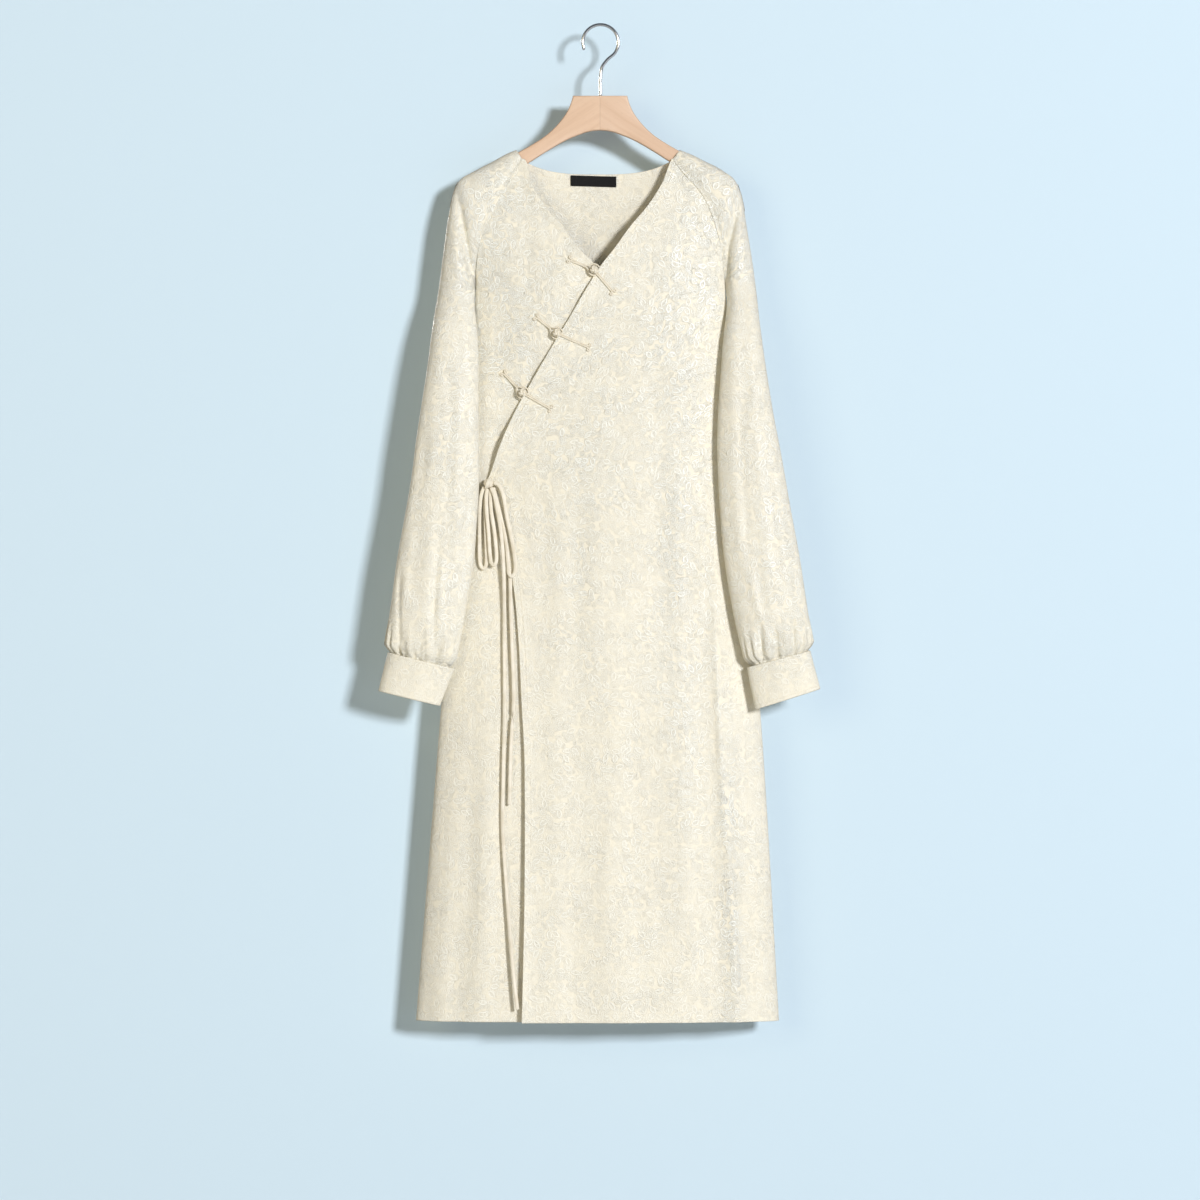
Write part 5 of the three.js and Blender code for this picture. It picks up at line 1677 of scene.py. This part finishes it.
def add_stitches(name, lines, pitch=STITCH_PITCH, length=STITCH_LENGTH, width=STITCH_WIDTH,
                 thread=THREAD):
    """One mesh of stitches along all the given lines."""
    points = np.concatenate(lines)
    edges, start = [], 0
    for line in lines:
        edges += [(start + i, start + i + 1) for i in range(len(line) - 1)]
        start += len(line)
    mesh = bpy.data.meshes.new(name + "_lines")
    mesh.from_pydata([tuple(p) for p in points], edges, [])
    holder = bpy.data.objects.new(name + "_lines", mesh)
    bpy.context.scene.collection.objects.link(holder)
    modifier = holder.modifiers.new("Stitches", "NODES")
    modifier.node_group = STITCH_TREE
    values = {"Pitch": pitch, "Length": length, "Width": width, "Thread": thread}
    for socket in STITCH_TREE.interface.items_tree:
        if socket.name in values:
            modifier[socket.identifier] = values[socket.name]
    bpy.context.view_layer.update()
    graph = bpy.context.evaluated_depsgraph_get()
    made = bpy.data.meshes.new_from_object(holder.evaluated_get(graph), depsgraph=graph)
    made.name = name
    bpy.data.objects.remove(holder)
    return finish_piece(name, made, thread, None)


SEAM_DEPTH = 0.0001
EDGE_LINE_STEPS = 200
ACROSS_LINE_STEPS = 160
RING_LINE_STEPS = 121


def edge_line(panel, source, inset, top, low):
    heights = np.linspace(top, low, EDGE_LINE_STEPS)
    return on_front(panel, read(source, "x", heights) + inset, heights, SEAM_DEPTH)


def across_line(surface, inset, z, out):
    values = np.linspace(inset, 1 - inset, ACROSS_LINE_STEPS)
    points = surface(values, np.full(ACROSS_LINE_STEPS, z))
    points[:, 1] += out
    return points


def ring_line(surface, z):
    values = np.linspace(0, 1, RING_LINE_STEPS)
    return surface(values, np.full(RING_LINE_STEPS, z))


FACING_LINE = NECK_FACING - FACING_SLOPE
HEM_LINE = HEM + HEM_TURN - FACING_SLOPE
EDGE_LINE_TOP = NECK_TOP - 0.001
EDGE_LINE_LOW = HEM + HEM_TURN
front_stitches = add_stitches("outer_front_stitches", [
    edge_line(outer_point, OUTER_EDGE, FACING_LINE, EDGE_LINE_TOP, EDGE_LINE_LOW),
    across_line(outer_front, inset=0.03, z=HEM_LINE, out=-SEAM_DEPTH)])
under_stitches = add_stitches("under_front_stitches", [
    edge_line(under_point, UNDER_EDGE, -FACING_LINE, EDGE_LINE_TOP, EDGE_LINE_LOW),
    across_line(under_front, inset=0.02, z=HEM_LINE, out=-SEAM_DEPTH)])
back_stitches = add_stitches("back_stitches", [
    across_line(back_panel, inset=0.005, z=NECK_TOP - FACING_LINE, out=SEAM_DEPTH),
    across_line(back_panel, inset=0.005, z=NECK_TOP - FACING_LINE, out=-SHEET - SEAM_DEPTH),
    across_line(back_panel, inset=0.01, z=HEM_LINE, out=SEAM_DEPTH)])


def cuff_lines(side, source):
    surface = cuff(side, source)
    heights = (source["z"][0] - CUFF_TOP_LINE, source["z"][-1] + CUFF_LOW_LINE)
    return [ring_line(surface, height) for height in heights]


left_cuff_stitches = add_stitches("cuff_left_stitches", cuff_lines(-1, LEFT_CUFF))
right_cuff_stitches = add_stitches("cuff_right_stitches", cuff_lines(1, RIGHT_CUFF))


# Frog closures: a knot of cord on the wrap edge, with a strap of two cords to each side
FROG_CORD = 0.0021
FROG_THICK = 0.0019
STRAP_HALF = 0.00105
KNOT_CORD = 0.0027
KNOT_RADIUS = 0.0040
KNOT_CORE = 0.0041
KNOT_RISE = 0.0055
KNOT_LEADS = 3
KNOT_BIGHTS = 4
KNOT_LATITUDE = math.radians(60)
RING_RADIUS = 0.0074
RING_WIRE = 0.0015
RING_TURN = 2.2
LOOP_SLOPE = 0.014
KNOT_STEPS = 240
KNOT_WEAVE = 0.0006
KNOT_WEAVE_SHIFT = 0.6
KNOT_FLATNESS = 0.86
FROG_STEPS = 5
FROG_SIDES = 10
RING_STEPS = 8
RING_END = 0.42

# Distances along a strap from its frog, and its turned tab: out to a side and along, past 0.5 from the end
KNOT_STRAP = (0.0015, 0.008, 0.014)
LOOP_STRAP = (0.0105, 0.016, 0.021)
TAB_TURNS = (
    (STRAP_HALF, 0.994),
    (STRAP_HALF, 0.9975),
    (0.0015, 0.9996),
    (0.0026, 1.0013),
    (0.0040, 1.0012),
    (0.0046, 0.9999),
    (0.0040, 0.9988),
    (0.0029, 0.9987),
)


def ball(centre, radii, columns, rows, shape=None):
    """A closed ball, stretched to its radii, with a shape of its own where one is given."""
    angles = np.linspace(0, FULL_TURN, columns, endpoint=False)
    levels = np.linspace(0, math.pi, rows + 1)[1:-1]
    lat, lon = np.meshgrid(levels, angles, indexing="ij")
    unit = np.stack([np.sin(lat) * np.cos(lon), np.sin(lat) * np.sin(lon), np.cos(lat)], axis=-1)
    unit = np.concatenate([unit.reshape(-1, 3), [[0, 0, 1], [0, 0, -1]]])
    size = shape(unit) if shape else np.ones(len(unit))
    points = np.array(centre) + unit * np.array(radii) * size[:, None]
    faces, last = [], rows - 2
    for row in range(last):
        this, following = row * columns, (row + 1) * columns
        for i in range(columns):
            j = (i + 1) % columns
            faces.append((this + i, this + j, following + j, following + i))
    north, south = len(points) - 2, len(points) - 1
    for i in range(columns):
        j = (i + 1) % columns
        faces.append((north, j, i))
        faces.append((south, last * columns + i, last * columns + j))
    uvs = [(points[k][0], points[k][2]) for face in faces for k in face]
    return points, faces, uvs


def knotted_ball(centre):
    """A ball of cord woven round a core, as a three-lead knot with four bights."""
    s = np.linspace(0, FULL_TURN * KNOT_LEADS, KNOT_STEPS, endpoint=False)
    lat = KNOT_LATITUDE * np.sin(KNOT_BIGHTS * s / KNOT_LEADS)
    reach = KNOT_RADIUS + KNOT_WEAVE * np.sin(2 * KNOT_BIGHTS * s / KNOT_LEADS + KNOT_WEAVE_SHIFT)
    way = np.stack([np.cos(lat) * np.cos(s), -np.sin(lat), np.cos(lat) * np.sin(s)], axis=-1)
    line = centre + way * reach[:, None]
    cord = ribbon(line, way, KNOT_CORD, KNOT_CORD * KNOT_FLATNESS, sides=8, closed=True)
    return [cord, ball(centre, (KNOT_CORE,) * 3, columns=20, rows=14)]


def strap_route(panel, frog, end, aside_and_along):
    """Points on a panel from distances along a strap and to its side."""
    way = np.array([end[0] - frog["x"], end[1] - frog["z"]])
    length = np.linalg.norm(way)
    way = way / length
    along = np.array([a if a < 0.5 else a - 1 + length for _, a in aside_and_along])
    aside = np.array([s for s, _ in aside_and_along])
    x = frog["x"] + way[0] * along + way[1] * aside
    z = frog["z"] + way[1] * along - way[0] * aside
    return on_front(panel, x, z, TRIM_GAP + FROG_THICK / 2)


def strap_places(side, distances):
    """The points of a strap's cord on one side, out to its tab and back in a small curl."""
    straight = [(STRAP_HALF, distance) for distance in distances]
    return [(side * aside, along) for aside, along in (*straight, *TAB_TURNS)]


def frog_line(points):
    line = smooth_route(np.array(points), FROG_STEPS)
    return ribbon(line, OUT, FROG_CORD, FROG_THICK, FROG_SIDES)


def knot_half(frog):
    seat = on_front(outer_point, np.array(frog["x"]), np.array(frog["z"]), KNOT_RISE + TRIM_GAP)
    parts = knotted_ball(seat)
    end = (frog["knot_x"], frog["knot_z"])
    for side in (-1, 1):
        parts.append(frog_line(strap_route(outer_point, frog, end, strap_places(side, KNOT_STRAP))))
    return parts


def loop_half(frog):
    def ground(across, z):
        top = outer_point(across, z)
        distance = np.hypot(top[..., 0] - frog["x"], z - frog["z"]) - RING_RADIUS
        share = smooth_step(distance / LOOP_SLOPE)[..., None]
        return top * (1 - share) + under_point(across, z) * share

    end = (frog["loop_x"], frog["loop_z"])
    toward = math.atan2(end[1] - frog["z"], end[0] - frog["x"])
    parts = []
    for side in (-1, 1):
        angles = toward - side * np.linspace(RING_TURN, RING_END, RING_STEPS)
        x = frog["x"] + RING_RADIUS * np.cos(angles)
        z = frog["z"] + RING_RADIUS * np.sin(angles)
        ring = on_front(outer_point, x, z, RING_WIRE + TRIM_GAP)
        strap = strap_route(ground, frog, end, strap_places(side, LOOP_STRAP))
        parts.append(frog_line(np.concatenate([ring, strap])))
    return parts


for number, frog in enumerate(rows_of(FROGS), 1):
    for half, parts in (("knot", knot_half(frog)), ("loop", loop_half(frog))):
        node = f"frog_{number}_{half}"
        finish_piece(node + "_silk", outward_mesh(node + "_silk", parts), TRIM, [node])


# The bow's knot: wraps of the tie round a soft core, with one strand over them
BOW_X, BOW_Z, BOW_OUT = -0.1438, -0.5905, 0.006
BOW_RADII = (0.0068, 0.0052, 0.0062)
STRAND_REACH = 1.9
STRAND_STEPS = 22
STRAND_LEAN = 0.0022
STRAND_ASIDE = 0.001
STRAND_LIFT = 0.0003
STRAND_WIDE = 0.0046
STRAND_THICK = 0.0016
STRAND_TURN = 0.9
WRAP_LEAN = 0.25
WRAPS = 3.6
WRAP_DEPTH = 0.10


def wraps(unit):
    lean = unit[:, 0] + WRAP_LEAN * unit[:, 2]
    strand = np.abs(np.sin(lean * WRAPS + 0.5)) ** 0.5
    return 1 - WRAP_DEPTH + WRAP_DEPTH * strand


def bow_knot():
    seat = on_front(outer_point, np.array(BOW_X), np.array(BOW_Z), BOW_OUT)
    angles = np.linspace(-STRAND_REACH, STRAND_REACH, STRAND_STEPS)
    _, deep, tall = BOW_RADII
    across = STRAND_LEAN * np.sin(angles * STRAND_TURN) - STRAND_ASIDE
    out, up = (deep + STRAND_LIFT) * np.cos(angles), (tall + STRAND_LIFT) * np.sin(angles)
    over = seat + np.stack([across, -out, up], axis=-1)
    outward = np.stack([0 * angles, -np.cos(angles), np.sin(angles)], axis=-1)
    strand = ribbon(over, outward, STRAND_WIDE, STRAND_THICK, sides=12, squareness=TIE_SQUARENESS)
    return [ball(seat, BOW_RADII, columns=48, rows=32, shape=wraps), strand]


finish_piece("bow_knot_silk", outward_mesh("bow_knot_silk", bow_knot()), TRIM, ["bow_knot"])

# The bare neck label, with folded ends sewn down
LABEL_LEFT, LABEL_RIGHT, LABEL_TOP, LABEL_HIGH = -0.0381, 0.02, -0.192, 0.0128
LABEL_SLOPE = 0.028
LABEL_THICK = 0.0009
LABEL_FOLD = 0.006
LABEL_FOLD_RISE = 0.0003
LABEL_FOLD_SLOPE = 0.001
LABEL_SAG = 0.0003
LABEL_HEM = 0.0012
LABEL_LINES = (0.026, 0.974)
LABEL_LINE_STEPS = 12


def label_point(u, z, out=0.0):
    x = LABEL_LEFT + (LABEL_RIGHT - LABEL_LEFT) * u
    height = z - LABEL_SLOPE * (x - LABEL_LEFT)
    point = body_point(1, across_at(1, x, height), height)
    from_end = np.minimum(x - LABEL_LEFT, LABEL_RIGHT - x)
    fold = LABEL_FOLD_RISE * (1 - smooth_step((from_end - LABEL_FOLD) / LABEL_FOLD_SLOPE))
    sag = LABEL_SAG * np.sin(math.pi * u) * smooth_step((LABEL_TOP - z) / LABEL_HIGH)
    point[..., 1] -= CLOTH + TRIM_GAP + LABEL_THICK + fold + sag + out
    return point


u, z = even_grid(90, np.linspace(LABEL_TOP, LABEL_TOP - LABEL_HIGH, 26))
label_mesh = cloth_wall("label_cloth", label_point, u, z, thick=LABEL_THICK)
finish_piece("label_cloth", label_mesh, LABEL_CLOTH, ["label"])
ends = np.linspace(LABEL_TOP - LABEL_HEM, LABEL_TOP - LABEL_HIGH + LABEL_HEM, LABEL_LINE_STEPS)
label_lines = [label_point(np.full(LABEL_LINE_STEPS, share), ends, SEAM_DEPTH) for share in LABEL_LINES]
add_stitches("label_stitches", label_lines, pitch=0.0016, length=0.0012, width=0.0003,
             thread=LABEL_CLOTH)

# The hanger: a smooth outline rounded over at its edges
WOOD_THICK = 0.01
WOOD_ROUND = 0.0022
WOOD_ROUND_STEPS = 7
WOOD_ARCH = -0.1344
WOOD_ARCH_SIDE = (0.010, -0.1352)
WOOD_STEPS = 5
MERGED_WITHIN = 0.00002


def smooth_outline(source, steps):
    points = np.stack([source["x"], 0 * source["x"], source["z"]], axis=-1)
    return smooth_route(points, steps)[:, [0, 2]]


def hanger_outline():
    top = smooth_outline(WOOD_TOP, WOOD_STEPS)
    under = np.concatenate([smooth_outline(WOOD_UNDER, WOOD_STEPS), [WOOD_ARCH_SIDE]])
    right = np.concatenate([top, under])
    left = right[::-1] * (-1, 1)
    return np.concatenate([right, [[0, WOOD_ARCH]], left]) + (WOOD_SHIFT, 0)


def hanger_wood():
    outline = hanger_outline()
    curve = bpy.data.curves.new("hanger_outline", "CURVE")
    curve.dimensions = "2D"
    curve.fill_mode = "BOTH"
    curve.extrude = WOOD_THICK / 2 - WOOD_ROUND
    curve.bevel_depth = WOOD_ROUND
    curve.offset = -WOOD_ROUND
    curve.bevel_resolution = WOOD_ROUND_STEPS
    spline = curve.splines.new("POLY")
    spline.points.add(len(outline) - 1)
    spline.use_cyclic_u = True
    for point, (x, z) in zip(spline.points, outline):
        point.co = (x, z, 0, 1)
    holder = bpy.data.objects.new("hanger_outline", curve)
    bpy.context.scene.collection.objects.link(holder)
    bpy.context.view_layer.update()
    graph = bpy.context.evaluated_depsgraph_get()
    mesh = bpy.data.meshes.new_from_object(holder.evaluated_get(graph), depsgraph=graph)
    bpy.data.objects.remove(holder)
    flat = np.zeros(len(mesh.vertices) * 3)
    mesh.vertices.foreach_get("co", flat)
    flat = flat.reshape(-1, 3)
    mesh.vertices.foreach_set("co", np.stack([flat[:, 0], -flat[:, 2], flat[:, 1]], axis=-1).ravel())
    work = bmesh.new()
    work.from_mesh(mesh)
    bmesh.ops.remove_doubles(work, verts=work.verts, dist=MERGED_WITHIN)
    bmesh.ops.recalc_face_normals(work, faces=work.faces)
    work.to_mesh(mesh)
    work.free()
    return mesh


finish_piece("hanger_beech", hanger_wood(), WOOD, ["hanger_wood"])

# The hook: one wire from the hanger's head, up and over the rail
WIRE = 0.004
HOOK_RADIUS = 0.023
HOOK_START, HOOK_END = math.radians(-36), math.radians(200)
HOOK_POINTS = 10
HOOK_STEPS = 12
HOOK_SIDES = 20
ROD_ROUTE = table("x z", [(0.0, -0.0896), (0.0, -0.066), (0.0016, -0.054), (0.0086, -0.0436)])


def hook_wire():
    angles = np.linspace(HOOK_START, HOOK_END, HOOK_POINTS)
    x = np.concatenate([ROD_ROUTE["x"], HOOK_RADIUS * np.cos(angles)])
    z = np.concatenate([ROD_ROUTE["z"], WIRE / 2 - HOOK_RADIUS + HOOK_RADIUS * np.sin(angles)])
    line = smooth_route(np.stack([x, 0 * x, z], axis=-1), HOOK_STEPS)
    return ribbon(line, OUT, WIRE, WIRE, HOOK_SIDES)


finish_piece("hook_wire", outward_mesh("hook_wire", [hook_wire()]), CHROME, ["hanger_hook"])


# A pale floor, a pale wall seen from the front only, and soft studio light
STAGE_GRAIN_SCALE = 3.0
STAGE_GRAIN_SHARE = 0.04
STAGE_GRAIN_SHADE = 0.92


def plain(name, tint, rough, one_sided=False):
    finish = Finish(name)
    grain = finish.noise(finish.place(), STAGE_GRAIN_SCALE)
    shade = finish.mix(grain * STAGE_GRAIN_SHARE, tint, tuple(STAGE_GRAIN_SHADE * c for c in tint))
    inputs = {"Base Color": shade, "Roughness": rough, "Specular IOR Level": 0.2}
    face = finish.node("ShaderNodeBsdfPrincipled", None, inputs)
    if one_sided:
        behind = finish.node("ShaderNodeNewGeometry", output="Backfacing")
        clear = finish.node("ShaderNodeBsdfTransparent")
        face = finish.node("ShaderNodeMixShader", None, {0: behind, 1: face, 2: clear})
    finish.node("ShaderNodeOutputMaterial", None, {0: face})
    return finish.material


def add_plane(name, low, high, material):
    """A plane between two corners, level or upright."""
    corners = [low, (high[0], low[1], low[2]), high, (low[0], high[1], high[2])]
    mesh = bpy.data.meshes.new(name)
    mesh.from_pydata(corners, [], [(0, 1, 2, 3)])
    mesh.materials.append(material)
    plane = bpy.data.objects.new(name, mesh)
    bpy.context.scene.collection.objects.link(plane)
    return plane


FLOOR = -1.62
WALL = 0.054
WALL_TOP = 3.0
REACH = 6.0
add_plane("floor", (-REACH, -REACH, FLOOR), (REACH, REACH, FLOOR),
          plain("Pale floor", tint=(0.78, 0.80, 0.81), rough=0.7))
wall = add_plane("wall", (-REACH, WALL, FLOOR), (REACH, WALL, WALL_TOP),
                 plain("Pale blue wall", tint=(0.63, 0.765, 0.835), rough=0.8, one_sided=True))
wall.visible_shadow = False
wall.visible_diffuse = False
wall.visible_glossy = False


AIM = (0.0, 0.0, -0.7)


def add_lamp(name, place, size, power, tint):
    data = bpy.data.lights.new(name, "AREA")
    data.size = size
    data.energy = power
    data.color = tint
    lamp = bpy.data.objects.new(name, data)
    lamp.location = place
    lamp.rotation_euler = (Vector(AIM) - Vector(place)).to_track_quat("-Z", "Y").to_euler()
    bpy.context.scene.collection.objects.link(lamp)


add_lamp("key", place=(5.6, -10.3, 1.9), size=1.6, power=1190, tint=(0.975, 0.99, 1.05))
add_lamp("fill", place=(-3.4, -4.9, 0.4), size=3.0, power=62, tint=(1.0, 0.86, 0.56))
add_lamp("back", place=(-3.6, 5.6, 0.9), size=1.0, power=125, tint=(1.0, 0.98, 0.95))
add_lamp("back low", place=(2.4, 3.0, -0.4), size=2.5, power=14, tint=(1.0, 0.97, 0.92))

STUDIO_TINT = (0.84, 0.93, 1.05, 1)
STUDIO_STRENGTH = 0.12
world = bpy.data.worlds.new("Studio")
world.use_nodes = True
world.node_tree.nodes["Background"].inputs["Color"].default_value = STUDIO_TINT
world.node_tree.nodes["Background"].inputs["Strength"].default_value = STUDIO_STRENGTH
bpy.context.scene.world = world
bpy.context.scene.view_settings.view_transform = "Standard"
